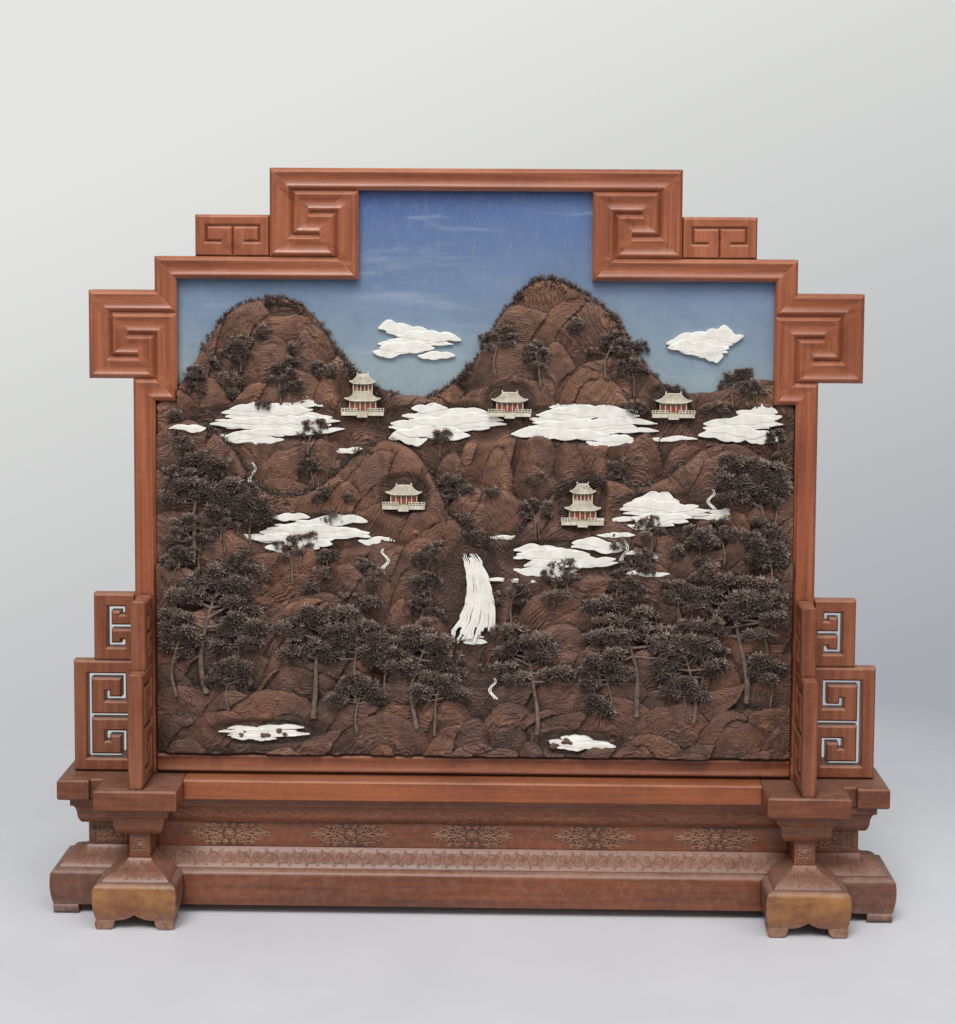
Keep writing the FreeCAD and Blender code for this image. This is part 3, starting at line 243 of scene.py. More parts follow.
carvedLook = {
    "dark": paint(88, 52, 36), "middle": paint(128, 83, 58), "light": paint(160, 112, 84),
    "creviceShade": paint(26, 13, 9), "rubbed": paint(176, 128, 96), "dustColour": paint(160, 128, 108),
    "dust": 0.8, "roughness": 0.42, "coat": 0.2,
}
edges = {"round": 0.0040, "shade": 0.018, "rub": 0.8}  # metres, metres, strength
grain = {
    "x": (2.2, 60, 60), "z": (60, 60, 2.2), "short": (7, 16, 70), "mottled": (16, 16, 26),  # runs, per metre
    # scale, detail, roughness and distortion of the noises
    "streaks": (1.0, 7.0, 0.62, 0.5), "pores": (6.0, 2.0, 0.7),
    "patches": (4.0, 3.0, 0.6), "specks": (60.0, 4.0, 0.7),
    "mitre": 0.0004,  # metres either side of a mitre over which the grain turns
}
carving = {
    "waistRidge": 0.0029, "slopeRidge": 0.0018, "lotusRidge": 0.0025,  # radius of a carved ridge
    "sunk": 0.0004, "jump": 0.02,  # depth of its middle, and a step that breaks it off
    "cartouches": 5, "cartoucheStep": 0.305, "cartoucheHalf": 0.104, "cartoucheRise": 0.028,
    "scrollStep": 0.035, "slopeShare": 0.36,  # the scroll's rise by the height of the slope
    "lotusStep": 0.0315, "lotusRise": 0.012, "lotusShare": 0.36,  # its level by the height of the lotus
    "rosette": 0.022, "petals": 8,
    "armHalf": 0.055, "armStep": 0.028,  # scrolls over the front, back and end of a pedestal
    "sideShare": 0.42, "sideRise": 0.026, "sideStep": 0.032, "neck": 0.03,  # on its side arm
}


def hardwood(name, run, look, cartoucheLevel=None, fret=None):
    finish = Finish(name)
    place = finish.place()
    along = finish.stretched(place, grain[run])
    if fret:
        # The grain of a fret turns with its bars at the mitres
        middle = (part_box(fret)[0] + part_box(fret)[1]) / 2
        across = abs(abs(finish.part(place, "X")) - abs(middle.x)) - abs(finish.part(place, "Z") - middle.z)
        upright = finish.span(across, -grain["mitre"], grain["mitre"])
        along = finish.node("Mix", {"data_type": "VECTOR"},
                            {0: upright, 4: along, 5: finish.stretched(place, grain["z"])}, output=1)
    streaks = finish.noise(along, *grain["streaks"])
    pores = finish.noise(along, *grain["pores"])
    patches = finish.noise(place, *grain["patches"])
    specks = finish.noise(place, *grain["specks"])
    tone = streaks * 0.72 + patches * 0.28
    colour = finish.ramp(tone, (0.30, look["dark"]), (0.50, look["middle"]), (0.70, look["light"]))
    if "tanFaces" in look:
        worn = finish.ramp(tone, (0.35, look["tanDark"]), (0.60, look["tanLight"]))
        low = finish.span(finish.part(place, "Z"), *look["tanLevels"])
        worn = finish.blend(low * 0.6, worn, look["tanLow"])
        colour = finish.blend(finish.span(finish.part(place, "Y"), *look["tanFaces"]), colour, worn)
    colour = finish.blend(finish.span(pores, 0.60, 0.80) * 0.4, colour, look["dark"])
    if cartoucheLevel:
        # The carved grounds between the plain reserves are darker
        across = abs(finish.part(place, "X"))
        across = across.maths("PINGPONG", across, carving["cartoucheStep"] / 2) / carving["cartoucheHalf"]
        rise = abs(finish.part(place, "Z") - cartoucheLevel) / (carving["cartoucheRise"] * 1.6)
        colour = finish.blend(finish.span(across + rise, 1.16, 0.86) * 0.62, colour, look["ground"])
    # Dust lies on what looks up, and as a thin broken film on the rest
    dust = finish.span(finish.upward(), 0.15, 0.8) * finish.span(specks * 0.5 + patches * 0.5, 0.28, 0.6)
    dust = dust * look["dust"]
    film = finish.span(specks, 0.46, 0.74) * (look["dust"] * 0.30)
    colour = finish.blend(film, colour, look["dustColour"])
    stain = finish.span(specks, 0.46, 0.26) * (look["dust"] * 0.35)
    colour = finish.blend(stain, colour, look["dark"])
    colour = finish.blend(dust * 0.8, colour, look["dustColour"])
    if "padLevel" in look:
        low = finish.span(finish.part(place, "Z"), look["padLevel"], 0.0)
        colour = finish.blend(low * finish.span(specks, 0.3, 0.6) * 0.7, colour, look["dustColour"])
    soft, turned = finish.rounded(edges["round"])
    shade = finish.creviceShade(edges["shade"])
    rubbed = finish.span(turned, 0.01, 0.12) * finish.span(shade, 0.25, 0.05)
    rubbed = rubbed * finish.span(patches, 0.36, 0.58)
    colour = finish.blend(rubbed * edges["rub"], colour, look["rubbed"])
    # Painted shade in the corners and creases of the wood
    colour = finish.blend(finish.span(shade, 0.22, 0.75) * 0.8, colour, look["creviceShade"])
    grip = streaks * 0.14 + (look["roughness"] - 0.07) + dust * 0.3
    return finish.finished(Base_Color=colour, Roughness=grip, Coat_Weight=look["coat"], Coat_Roughness=0.22,
                           Normal=finish.bump(streaks * 0.6 + pores * 0.4, 0.25, 0.0006, Normal=soft))


# Finishes of the picture

skyLook = {
    "top": paint(76, 100, 154), "middle": paint(110, 131, 162), "low": paint(146, 162, 168),
    "streak": paint(170, 184, 200), "worn": paint(142, 152, 162), "stain": paint(82, 100, 132),
    "crack": paint(70, 74, 88),
    "topLevel": 1.80, "lowLevel": 1.34,  # metres above the floor
}
rockLook = {
    "dark": paint(80, 59, 52), "middle": paint(120, 88, 75), "warm": paint(152, 102, 76),
    # the darkest of these colours is painted shade
    "high": paint(180, 131, 104), "hollow": paint(28, 18, 15), "dust": paint(140, 116, 104),
    "lowLevel": 0.45, "highLevel": 1.35,  # metres above the floor
    "corner": (0.03, 0.30, 0.85, 0.9),  # reach of the painted shade in corners in metres, its levels and strength
}
# Needle colours from painted shade under a clump to painted light on top, and painted shade in corners
needleLitShadedLook = {
    "under": paint(54, 43, 39), "middle": paint(116, 98, 89), "top": paint(170, 150, 138),
    "hollow": paint(36, 28, 25),
}
fineCornerShade = (0.012, 0.25, 0.8, 0.7)  # the same painted corner shade for the fine pieces


def paintedSky(name, look):
    finish = Finish(name)
    place = finish.place()
    banks = finish.noise(finish.stretched(place, (2.0, 2.0, 9.0)), 1.0, 5.0, 0.6)
    level = finish.span(finish.part(place, "Z"), look["lowLevel"], look["topLevel"]) + (banks - 0.5) * 0.5
    colour = finish.ramp(level, (0.0, look["low"]), (0.5, look["middle"]), (1.0, look["top"]))
    streaks = finish.noise(finish.stretched(place, (3.0, 3.0, 26.0)), 1.0, 6.0, 0.62, 0.4)
    colour = finish.blend(finish.span(streaks, 0.55, 0.78) * 0.5, colour, look["streak"])
    weave = finish.noise(place, 900.0, 2.0, 0.6)
    wear = finish.span(finish.noise(finish.stretched(place, (70.0, 70.0, 22.0)), 1.0, 7.0, 0.75), 0.50, 0.74)
    colour = finish.blend(wear * 0.42, colour, look["worn"])
    stain = finish.span(finish.noise(place, 9.0, 6.0, 0.7), 0.46, 0.74)
    colour = finish.blend(stain * 0.34, colour, look["stain"])
    cells = finish.node("TexVoronoi", {"feature": "DISTANCE_TO_EDGE"}, {"Vector": place, "Scale": 16.0})
    colour = finish.blend(finish.span(cells, 0.012, 0.0) * 0.16, colour, look["crack"])
    return finish.finished(Base_Color=colour, Roughness=0.74, Normal=finish.bump(weave, 0.2, 0.0004))


def carvedRock(name, look):
    finish = Finish(name)
    place = finish.place()
    hollow, tone, flow = (finish.carried(label) for label in ("hollow", "tone", "flow"))
    mottle = finish.noise(place, 8.0, 8.0, 0.68)
    fine = finish.noise(place, 190.0, 4.0, 0.65)
    chisel = finish.noise(finish.stretched(place, (62.0, 62.0, 95.0)), 1.0, 5.0, 0.72, 0.6)
    hatch = abs(flow.maths("SINE", flow * (2 * math.pi) + fine * 2.0))
    colour = finish.ramp(tone * 0.16 + mottle * 0.70 + chisel * 0.24,
                         (0.36, look["dark"]), (0.54, look["middle"]), (0.72, look["warm"]))
    height = finish.span(finish.part(place, "Z"), look["lowLevel"], look["highLevel"])
    colour = finish.blend(height * finish.span(mottle, 0.25, 0.65) * 0.55, colour, look["high"])
    # Painted shade in the hatch grooves, then in the carved grooves and down to the foot of each rock
    colour = finish.blend((1 - hatch) * 0.30, colour, look["hollow"])
    colour = finish.blend(finish.span(hollow, 0.2, 1.0) * 0.7, colour, look["hollow"])
    dust = finish.span(finish.upward(), 0.3, 1.0) * finish.span(fine * 0.6 + mottle * 0.4, 0.40, 0.64) * 0.35
    colour = finish.blend(dust, colour, look["dust"])
    # Painted shade in the corners
    colour = finish.cornerShaded(colour, look["hollow"], *look["corner"])
    return finish.finished(Base_Color=colour, Roughness=fine * 0.2 + 0.5,
                           Normal=finish.bump(hatch * 0.25 + fine * 0.2 + chisel * 0.55, 0.9, 0.010))


def twoTone(name, low, high, scale, roughness, depth, shade=None):
    # Two tones broken by noise, with painted shade in the corners
    finish = Finish(name)
    mottle = finish.noise(finish.place(), scale, 5.0, 0.65)
    colour = finish.ramp(mottle, (0.30, low), (0.70, high))
    if shade:
        colour = finish.cornerShaded(colour, shade, *fineCornerShade)
    return finish.finished(Base_Color=colour, Roughness=mottle * 0.2 + (roughness - 0.1),
                           Normal=finish.bump(mottle, 0.4, depth))


def needleFinish(name, look):
    # Painted shade under a clump and painted light on top of it
    finish = Finish(name)
    lift = finish.carried("lift")
    mottle = finish.noise(finish.place(), 110.0, 5.0, 0.65)
    colour = finish.ramp(lift * 0.7 + mottle * 0.3,
                         (0.12, look["under"]), (0.50, look["middle"]), (0.86, look["top"]))
    colour = finish.cornerShaded(colour, look["hollow"], *fineCornerShade)
    return finish.finished(Base_Color=colour, Roughness=mottle * 0.2 + 0.4,
                           Normal=finish.bump(mottle, 0.4, 0.0004))


waistLevel = (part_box("long_waist")[0].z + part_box("long_waist")[1].z) / 2
finishes = {
    "frameAcross": hardwood("frame_wood_across", "x", frameLook),
    "frameUpright": hardwood("frame_wood_upright", "z", frameLook),
    "head_fret": hardwood("head_fret_wood", "x", frameLook, fret="right_head_fret"),
    "shoulder_fret": hardwood("shoulder_fret_wood", "x", frameLook, fret="right_shoulder_fret"),
    "wing_fret": hardwood("wing_fret_wood", "x", frameLook, fret="right_wing_fret"),
    "bracket": hardwood("bracket_wood", "z", bracketLook),
    "bracketAcross": hardwood("bracket_wood_across", "x", bracketLook),
    "slab": hardwood("slab_wood", "x", slabLook),
    "standAcross": hardwood("stand_wood_across", "x", standLook),
    "standDeep": hardwood("stand_wood_deep", "short", pedestalLook),
    # The upper lotus, with painted warm bounced light in its shade
    "lotus": hardwood("lotus_wood", "x", lotusWarmShadeLook),
    "waist": hardwood("waist_wood", "x", standLook, waistLevel),
    "carved": hardwood("carved_wood", "x", carvedLook),
    "foot": hardwood("foot_wood", "mottled", footLook),
    "back": hardwood("back_wood", "z", backLook),
    "sky": paintedSky("painted_sky", skyLook),
    "rock": carvedRock("carved_rock", rockLook),
    "ivory": twoTone("ivory_inlay", paint(222, 217, 206), paint(246, 243, 236), 40, 0.42, 0.0006),
    "hall": twoTone("pale_hall", paint(186, 174, 152), paint(228, 220, 202), 70, 0.55, 0.0006,
                    paint(84, 62, 48)),
    "red": twoTone("red_joinery", paint(132, 58, 42), paint(170, 84, 62), 90, 0.5, 0.0004,
                   paint(60, 26, 20)),
    "needles": needleFinish("pine_needles", needleLitShadedLook),
    "bark": twoTone("pine_bark", paint(74, 58, 50), paint(128, 108, 96), 90, 0.6, 0.0012,
                    paint(34, 26, 22)),
}
print("finishes:", len(finishes))


# Studio: a pale floor that fades into an even backdrop

studio = {
    "floorHalf": 6.0, "fadeFrom": 1.25, "fadeTo": 2.6,  # metres
    "floorLow": paint(206, 207, 213), "floorHigh": paint(214, 214, 219),
    "backdropLow": paint(168, 170, 177), "backdropHigh": paint(229, 230, 226),
    "sideFall": 0.42,  # the backdrop gets darker to the right
    "glow": 0.42,  # share of the backdrop's brightness that lights the object
    "backdropLevels": (-0.30, 0.12),  # from low to high, by the height of the direction
    "suns": ((1.75, (38, 0, -15), 24), (0.8, (52, 0, 46), 60)),  # strength, turn and softness in degrees
    "panel": (34.0, 3.0, (0.0, -2.2, 3.4), (0.0, 0.0, 1.3)),  # a soft light's watts, side, place and aim
}


def floorFinish(look):
    finish = Finish("studio_floor")
    place = finish.place()
    colour = finish.ramp(finish.noise(place, 2.5, 3.0), (0.3, look["floorLow"]), (0.7, look["floorHigh"]))
    finish.finished(Base_Color=colour, Roughness=0.6)
    away = finish.node("VectorMath", {"operation": "LENGTH"}, {0: place}, output="Value")
    clear = finish.node("BsdfTransparent")
    mixed = finish.node("MixShader", {}, {0: finish.span(away, look["fadeFrom"], look["fadeTo"]),
                                          1: Wire(finish, finish.shader.outputs[0]), 2: clear})
    finish.feed(finish.tree.nodes["Material Output"].inputs["Surface"], mixed)
    return finish.material


def setBackdrop(look):
    scene.world = bpy.data.worlds.new("studio")
    scene.world.use_nodes = True
    graph = Graph(scene.world.node_tree)
    aim = graph.node("TexCoord", output="Generated")
    slant = graph.part(aim, "Z") - graph.part(aim, "X") * look["sideFall"]
    colour = graph.ramp(graph.span(slant, *look["backdropLevels"]),
                        (0.0, look["backdropLow"]), (1.0, look["backdropHigh"]))
    seen = graph.node("LightPath", output="Is Camera Ray")
    ground = graph.tree.nodes["Background"].inputs
    graph.feed(ground["Color"], colour)
    graph.feed(ground["Strength"], seen * (1 - look["glow"]) + look["glow"])


def setStudio(look):
    half = look["floorHalf"]
    mesh = bpy.data.meshes.new("floor")
    corners = [(-half, -half, 0), (half, -half, 0), (half, half, 0), (-half, half, 0)]
    mesh.from_pydata(corners, [], [(0, 1, 2, 3)])
    mesh.materials.append(floorFinish(look))
    floor = bpy.data.objects.new("floor", mesh)
    scene.collection.objects.link(floor)
    setBackdrop(look)
    for number, (strength, turn, softness) in enumerate(look["suns"]):
        light = bpy.data.lights.new("sun%d" % number, "SUN")
        light.energy = strength
        light.angle = math.radians(softness)
        sun = bpy.data.objects.new("sun%d" % number, light)
        sun.rotation_euler = [math.radians(angle) for angle in turn]
        scene.collection.objects.link(sun)
    watts, side, place, aim = look["panel"]
    light = bpy.data.lights.new("panel", "AREA")
    light.energy = watts
    light.size = side
    panel = bpy.data.objects.new("panel", light)
    panel.location = place
    panel.rotation_euler = (Vector(aim) - Vector(place)).to_track_quat("-Z", "Y").to_euler()
    scene.collection.objects.link(panel)
    scene.view_settings.view_transform = "Standard"


setCamera(cameraSetup)
setStudio(studio)
print("camera and studio ready")


# Geometry Nodes recipes

class Recipe:
    def __init__(self, name, inputs):
        self.tree = bpy.data.node_groups.new(name, "GeometryNodeTree")
        sockets = self.tree.interface
        sockets.new_socket("Geometry", in_out="INPUT", socket_type="NodeSocketGeometry")
        for label, kind in inputs.items():
            sockets.new_socket(label, in_out="INPUT", socket_type="NodeSocket" + kind)
        sockets.new_socket("Geometry", in_out="OUTPUT", socket_type="NodeSocketGeometry")
        self.given = self.tree.nodes.new("NodeGroupInput").outputs
        self.result = self.tree.nodes.new("NodeGroupOutput").inputs

    def node(self, kind, settings=None, inputs=None):
        made = self.tree.nodes.new(kind)
        for key, value in (settings or {}).items():
            setattr(made, key, value)
        for key, value in (inputs or {}).items():
            if isinstance(value, bpy.types.NodeSocket):
                self.tree.links.new(value, made.inputs[key])
            else:
                made.inputs[key].default_value = value
        return made.outputs

    def end(self, geometry, material):
        whole = self.node("GeometryNodeRealizeInstances", {}, {"Geometry": geometry})
        dressed = self.node("GeometryNodeSetMaterial", {}, {"Geometry": whole[0], "Material": material})
        self.tree.links.new(dressed[0], self.result[0])

    def make(self, piece, values):
        # Run the tree on a piece and keep the result as a plain mesh
        modifier = piece.modifiers.new(self.tree.name, "NODES")
        modifier.node_group = self.tree
        for item in self.tree.interface.items_tree:
            if item.in_out == "INPUT" and item.name in values:
                modifier[item.identifier] = values[item.name]
        view = bpy.context.evaluated_depsgraph_get()
        mesh = bpy.data.meshes.new_from_object(piece.evaluated_get(view), preserve_all_data_layers=True,
                                               depsgraph=view)
        piece.modifiers.clear()
        piece.data = mesh
        mesh.name = piece.name
        return piece


def carvedLineRecipe():
    # Round ridges along lines of points; "thick" swells and thins them
    recipe = Recipe("carved line", {"Radius": "Float", "Sides": "Int", "Finish": "Material"})
    curve = recipe.node("GeometryNodeMeshToCurve", {}, {"Mesh": recipe.given["Geometry"]})
    thick = recipe.node("GeometryNodeInputNamedAttribute", {"data_type": "FLOAT"}, {"Name": "thick"})
    ring = recipe.node("GeometryNodeCurvePrimitiveCircle", {}, {"Resolution": recipe.given["Sides"],
                                                                "Radius": recipe.given["Radius"]})
    tube = recipe.node("GeometryNodeCurveToMesh", {}, {"Curve": curve[0], "Profile Curve": ring[0],
                                                       "Scale": thick[0], "Fill Caps": True})
    smooth = recipe.node("GeometryNodeSetShadeSmooth", {}, {"Geometry": tube[0]})
    recipe.end(smooth[0], recipe.given["Finish"])
    return recipe


def tuftRecipe():
    # A tuft on every point, turned to the point's "facing" and sized by its "size"
    recipe = Recipe("tufts", {"Tuft": "Object", "Seed": "Int", "Finish": "Material"})
    points = recipe.node("GeometryNodeMeshToPoints", {}, {"Mesh": recipe.given["Geometry"]})
    tuft = recipe.node("GeometryNodeObjectInfo", {}, {"Object": recipe.given["Tuft"]})
    facing = recipe.node("GeometryNodeInputNamedAttribute", {"data_type": "FLOAT_VECTOR"}, {"Name": "facing"})
    size = recipe.node("GeometryNodeInputNamedAttribute", {"data_type": "FLOAT"}, {"Name": "size"})
    spin = recipe.node("FunctionNodeRandomValue", {"data_type": "FLOAT"},
                       {2: 0.0, 3: 2 * math.pi, "Seed": recipe.given["Seed"]})
    turn = recipe.node("FunctionNodeAxisAngleToRotation", {}, {"Axis": (0, 0, 1), "Angle": spin[1]})
    tilt = recipe.node("FunctionNodeAlignRotationToVector", {"axis": "Z"}, {"Rotation": turn[0],
                                                                           "Vector": facing[0]})
    copies = recipe.node("GeometryNodeInstanceOnPoints", {},
                         {"Points": points[0], "Instance": tuft["Geometry"],
                          "Rotation": tilt[0], "Scale": size[0]})
    recipe.end(copies[0], recipe.given["Finish"])
    return recipe


carvedLine = carvedLineRecipe()
tufts = tuftRecipe()


def carry(mesh, **values):
    # Named values for every point of a mesh
    for label, numbers in values.items():
        mesh.attributes.new(label, "FLOAT", "POINT").data.foreach_set("value", numbers)


def pieceFrom(name, mesh):
    piece = bpy.data.objects.new(name, mesh)
    scene.collection.objects.link(piece)
    return piece


def carvedPiece(name, lines, radius, finish, sides):
    # lines hold (place, thickness) pairs
    spots, links, thick = [], [], []
    for line in lines:
        start = len(spots)
        spots += [tuple(place) for place, width in line]
        thick += [width for place, width in line]
        links += [(start + step, start + step + 1) for step in range(len(line) - 1)]
    mesh = bpy.data.meshes.new(name)
    mesh.from_pydata(spots, links, [])
    carry(mesh, thick=thick)
    return carvedLine.make(pieceFrom(name, mesh), {"Radius": radius, "Sides": sides, "Finish": finish})


def tuftPiece(name, growth, tuft, finish, seed):
    # growth holds (place, facing, size, lift), where lift goes from painted shade under a clump, 0, to
    # painted light on top, 1
    mesh = bpy.data.meshes.new(name)
    places, facings, sizes, shadeToLight = zip(*growth)
    mesh.from_pydata([tuple(place) for place in places], [], [])
    mesh.attributes.new("facing", "FLOAT_VECTOR", "POINT").data.foreach_set("vector", np.ravel(facings))
    carry(mesh, size=sizes, lift=shadeToLight)
    return tufts.make(pieceFrom(name, mesh), {"Tuft": tuft, "Seed": seed, "Finish": finish})


def shapedPiece(name, shape, finish):
    bmesh.ops.recalc_face_normals(shape, faces=shape.faces)
    mesh = bpy.data.meshes.new(name)
    shape.to_mesh(mesh)
    shape.free()
    mesh.materials.append(finish)
    return pieceFrom(name, mesh)


def settle(piece, body, slot, *replaced):
    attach(piece, body)
    if replaced:
        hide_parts(*replaced)


# Wood of the frame and the stand

def finishOf(name):
    if "bracket" in name:
        return "bracket"
    if "fret" in name:
        return name.split("_", 1)[1]
    if "stile" in name:
        return "frameUpright"
    if name == "bottom_rail":
        return "bracketAcross"
    if "rail" in name or name == "mitre_keys":
        return "frameAcross"
    if "foot_pads" in name or "pedestal_foot" in name:
        return "foot"
    if name == "long_waist":
        return "waist"
    if "upper_lotus" in name:
        return "lotus"
    if name == "long_slab":
        return "slab"
    if name.startswith("long") or name == "stand_dowels":
        return "standAcross"
    if "pedestal" in name:
        return "standDeep"
    if name.startswith("back"):
        return "back"
    carved = {"sky_board": "sky", "cloud_inlays": "ivory", "water_inlays": "ivory", "pavilions": "hall",
              "pines": "needles"}
    return carved.get(name, "rock")


for name, solid in nodes.items():
    for holder in solid.material_slots:
        holder.material = finishes[finishOf(name)]
print("solids dressed")


# Low relief on the stand

def surfaceOf(*names):
    spots, faces = [], []
    for name in names:
        start = len(spots)
        mesh = nodes[name].data
        spots += [corner.co.copy() for corner in mesh.vertices]
        faces += [[start + index for index in face.vertices] for face in mesh.polygons]
    return BVHTree.FromPolygons(spots, faces)


def spiral(centre, radius, turns, start, hand, steps=20):
    # From the outside in
    line = []
    for step in range(steps + 1):
        share = step / steps
        reach = radius * (1 - 0.84 * share)
        angle = start + hand * share * turns * 2 * math.pi
        line.append((centre[0] + reach * math.cos(angle), centre[1] + reach * math.sin(angle),
                     1 - 0.3 * share))
    return line


def leaf(root, tip, belly):
    # Two bowed sides from root to tip
    across = (tip[1] - root[1], root[0] - tip[0])
    sides = []
    for sign in (-1, 1):
        line = []
        for step in range(7):
            share = step / 6
            bow = math.sin(math.pi * share ** 0.8) * belly * sign
            line.append((root[0] + (tip[0] - root[0]) * share + across[0] * bow,
                         root[1] + (tip[1] - root[1]) * share + across[1] * bow, 1 - 0.4 * share))
        sides.append(line)
    return sides


def rosette(centre, radius, petals):
    lines = []
    for number in range(petals):
        angle = 2 * math.pi * number / petals
        tip = (centre[0] + radius * math.cos(angle), centre[1] + radius * math.sin(angle))
        lines += leaf(centre, tip, 0.36)
    ring = [(centre[0] + radius * 0.2 * math.cos(a), centre[1] + radius * 0.2 * math.sin(a), 1.2)
            for a in np.linspace(0, 2 * math.pi, 9)]
    return lines + [ring]


# Scrolls in a quarter of a cartouche: across and up as shares of its size, and the radius by its rise
scrollPlaces = ((0.10, 0.80, 0.22), (0.26, 0.58, 0.38), (0.46, 0.46, 0.46), (0.66, 0.34, 0.36),
                (0.82, 0.18, 0.24), (0.38, 0.92, 0.20), (0.56, 0.90, 0.18))


def cartouche(middle, half, rise):
    # Foliate scrolls round a flower, pointed at both ends
    lines = rosette(middle, rise * 0.50, 6)
    for side in (-1, 1):
        def at(reach, lift):
            return (middle[0] + side * half * reach, middle[1] + rise * lift)
        for up in (-1, 1):
            start = math.pi / 2 * up + side * up * math.pi * 0.5
            for reach, lift, size in scrollPlaces:
                lines.append(spiral(at(reach, up * lift), rise * size, 1.5, start, side * up))
            for root, tip in ((0.36, 0.34), (0.56, 0.58), (0.74, 0.78)):
                lines += leaf(at(root, up * 0.30), at(tip, up * (1.22 - tip * 0.62)), 0.24)
            lines.append([at(share, up * 0.16 * math.sin(share * 9)) + (0.9,)
                          for share in np.linspace(0.16, 0.9, 14)])
        lines += leaf(at(0.86, 0), at(1.0, 0), 0.3)
    return lines


def runningScroll(start, end, level, rise, step):
    # A waving stem with a scroll in every bend and a leaf on its back
    count = max(1, round(abs(end - start) / step))
    pitch = (end - start) / count
    stem = [(start + pitch * count * share, level + rise * 0.6 * math.sin(share * count * math.pi), 0.9)
            for share in np.linspace(0, 1, count * 8 + 1)]
    lines = [stem]
    for number in range(count):
        up = -1 if number % 2 else 1
        middle = start + pitch * (number + 0.5)
        lines.append(spiral((middle, level - up * rise * 0.15), rise * 0.66, 1.5, math.pi / 2 * up, -up, 16))
        lines += leaf((middle + pitch * 0.30, level + up * rise * 0.2),
                      (middle + pitch * 0.58, level + up * rise * 1.0), 0.25)
        lines += leaf((middle - pitch * 0.2, level + up * rise * 0.5),
                      (middle - pitch * 0.36, level + up * rise * 1.05), 0.25)
    return lines


class Carver:
    # Drops flat ornament on a surface, looking along one direction, and keeps the lines of each field apart
    def __init__(self):
        self.fields = {"waist": [], "slope": [], "lotus": []}

    def face(self, surface, direction, toSpace):
        self.surface = surface
        self.direction = Vector(direction)
        self.toSpace = toSpace

    def carve(self, field, flat):
        for line in flat:
            laid = []
            for across, up, width in line:
                place, normal = self.surface.ray_cast(self.toSpace(across, up), self.direction)[:2]
                if place is not None:
                    outward = normal if normal.dot(self.direction) < 0 else -normal
                    laid.append((place - outward * carving["sunk"], width))
            jumps = [step + 1 for step, (a, b) in enumerate(zip(laid, laid[1:]))
                     if (b[0] - a[0]).length > carving["jump"]]
            runs = [laid[first:last] for first, last in zip([0] + jumps, jumps + [len(laid)])]
            self.fields[field] += [run for run in runs if len(run) > 3]


def carveStand():
    carver = Carver()
    slope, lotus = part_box("long_lower_lotus"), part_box("long_upper_lotus")
    slopeLevel = (slope[0].z + slope[1].z) / 2
    slopeRise = (slope[1].z - slope[0].z) * carving["slopeShare"]
    lotusLevel = lotus[0].z + (lotus[1].z - lotus[0].z) * carving["lotusShare"]
    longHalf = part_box("right_pedestal_waist")[0].x + 0.01
    longFaces = surfaceOf("long_waist", "long_lower_lotus", "long_upper_lotus")

    def overSlope(start, end, step):
        carver.carve("slope", runningScroll(start, end, slopeLevel, slopeRise, step))

    def flower(middle):
        carver.carve("waist", rosette((middle, waistLevel), carving["rosette"], carving["petals"]))

    for face in (-1, 1):
        carver.face(longFaces, (0, -face, 0),
                    lambda across, up, face=face: Vector((across * -face, face * beyond["y"], up)))
        for number in range(carving["cartouches"]):
            middle = (number - (carving["cartouches"] - 1) / 2) * carving["cartoucheStep"]
            carver.carve("waist", cartouche((middle, waistLevel), carving["cartoucheHalf"],
                                            carving["cartoucheRise"]))
        overSlope(-longHalf, longHalf, carving["scrollStep"])
        carver.carve("lotus", runningScroll(-longHalf, longHalf, lotusLevel, carving["lotusRise"],
                                            carving["lotusStep"]))
    for side, sign in (("left", -1), ("right", 1)):
        arm = surfaceOf(*["%s_pedestal_%s" % (side, layer)
                          for layer in ("waist", "lower_lotus", "upper_lotus")])
        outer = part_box(side + "_pedestal_waist")[sign > 0].x
        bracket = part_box(side + "_front_bracket_lower")
        armX = (bracket[0].x + bracket[1].x) / 2
        for face in (-1, 1):
            carver.face(arm, (0, -face, 0),
                        lambda across, up, face=face: Vector((across, face * beyond["y"], up)))
            flower(armX)
            overSlope(armX - carving["armHalf"], armX + carving["armHalf"], carving["armStep"])
            middle = (armX + sign * carving["neck"] + outer) / 2
            carver.carve("waist", cartouche((middle, waistLevel), abs(outer - armX) * carving["sideShare"],
                                            carving["sideRise"]))
            overSlope(armX + sign * 3 * carving["neck"], outer + sign * carving["neck"], carving["sideStep"])
        carver.face(arm, (-sign, 0, 0),
                    lambda across, up, sign=sign: Vector((sign * beyond["x"], across, up)))
        flower(0)
        overSlope(-carving["armHalf"], carving["armHalf"], carving["armStep"])
    for field, finish in (("waist", "carved"), ("slope", "standAcross"), ("lotus", "bracketAcross")):
        lines = carver.fields[field]
        piece = carvedPiece(field + "_carving", lines, carving[field + "Ridge"], finishes[finish], 5)
        settle(piece, "stand", "stand_wood")
        print(field, "carving:", len(lines), "ridges")


carveStand()


# Places of the picture, read from the solids

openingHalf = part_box("near_rocks")[1].x
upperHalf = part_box("right_upper_stile")[0].x
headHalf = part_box("right_head_fret")[0].x
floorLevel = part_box("near_rocks")[0].z
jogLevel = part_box("right_wing_fret")[0].z
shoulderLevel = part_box("right_shoulder_rail")[0].z
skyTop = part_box("top_rail")[0].z


def islands(name):
    # Corners of each separate solid in a CAD node
    tidy = bmesh.new()
    tidy.from_mesh(nodes[name].data)
    bmesh.ops.remove_doubles(tidy, verts=tidy.verts, dist=1e-6)
    left = set(tidy.verts)
    found = []
    while left:
        group, todo = [], [left.pop()]
        while todo:
            corner = todo.pop()
            group.append(tuple(corner.co))
            for edge in corner.link_edges:
                other = edge.other_vert(corner)
                if other in left:
                    left.remove(other)
                    todo.append(other)
        found.append(np.array(group))
    tidy.free()
    return sorted(found, key=lambda spots: (round(spots[:, 0].min(), 3), round(spots[:, 2].min(), 3)))


cloudSolids, hallSolids = islands("cloud_inlays"), islands("pavilions")
waterSolids, pineSolids = islands("water_inlays"), islands("pines")

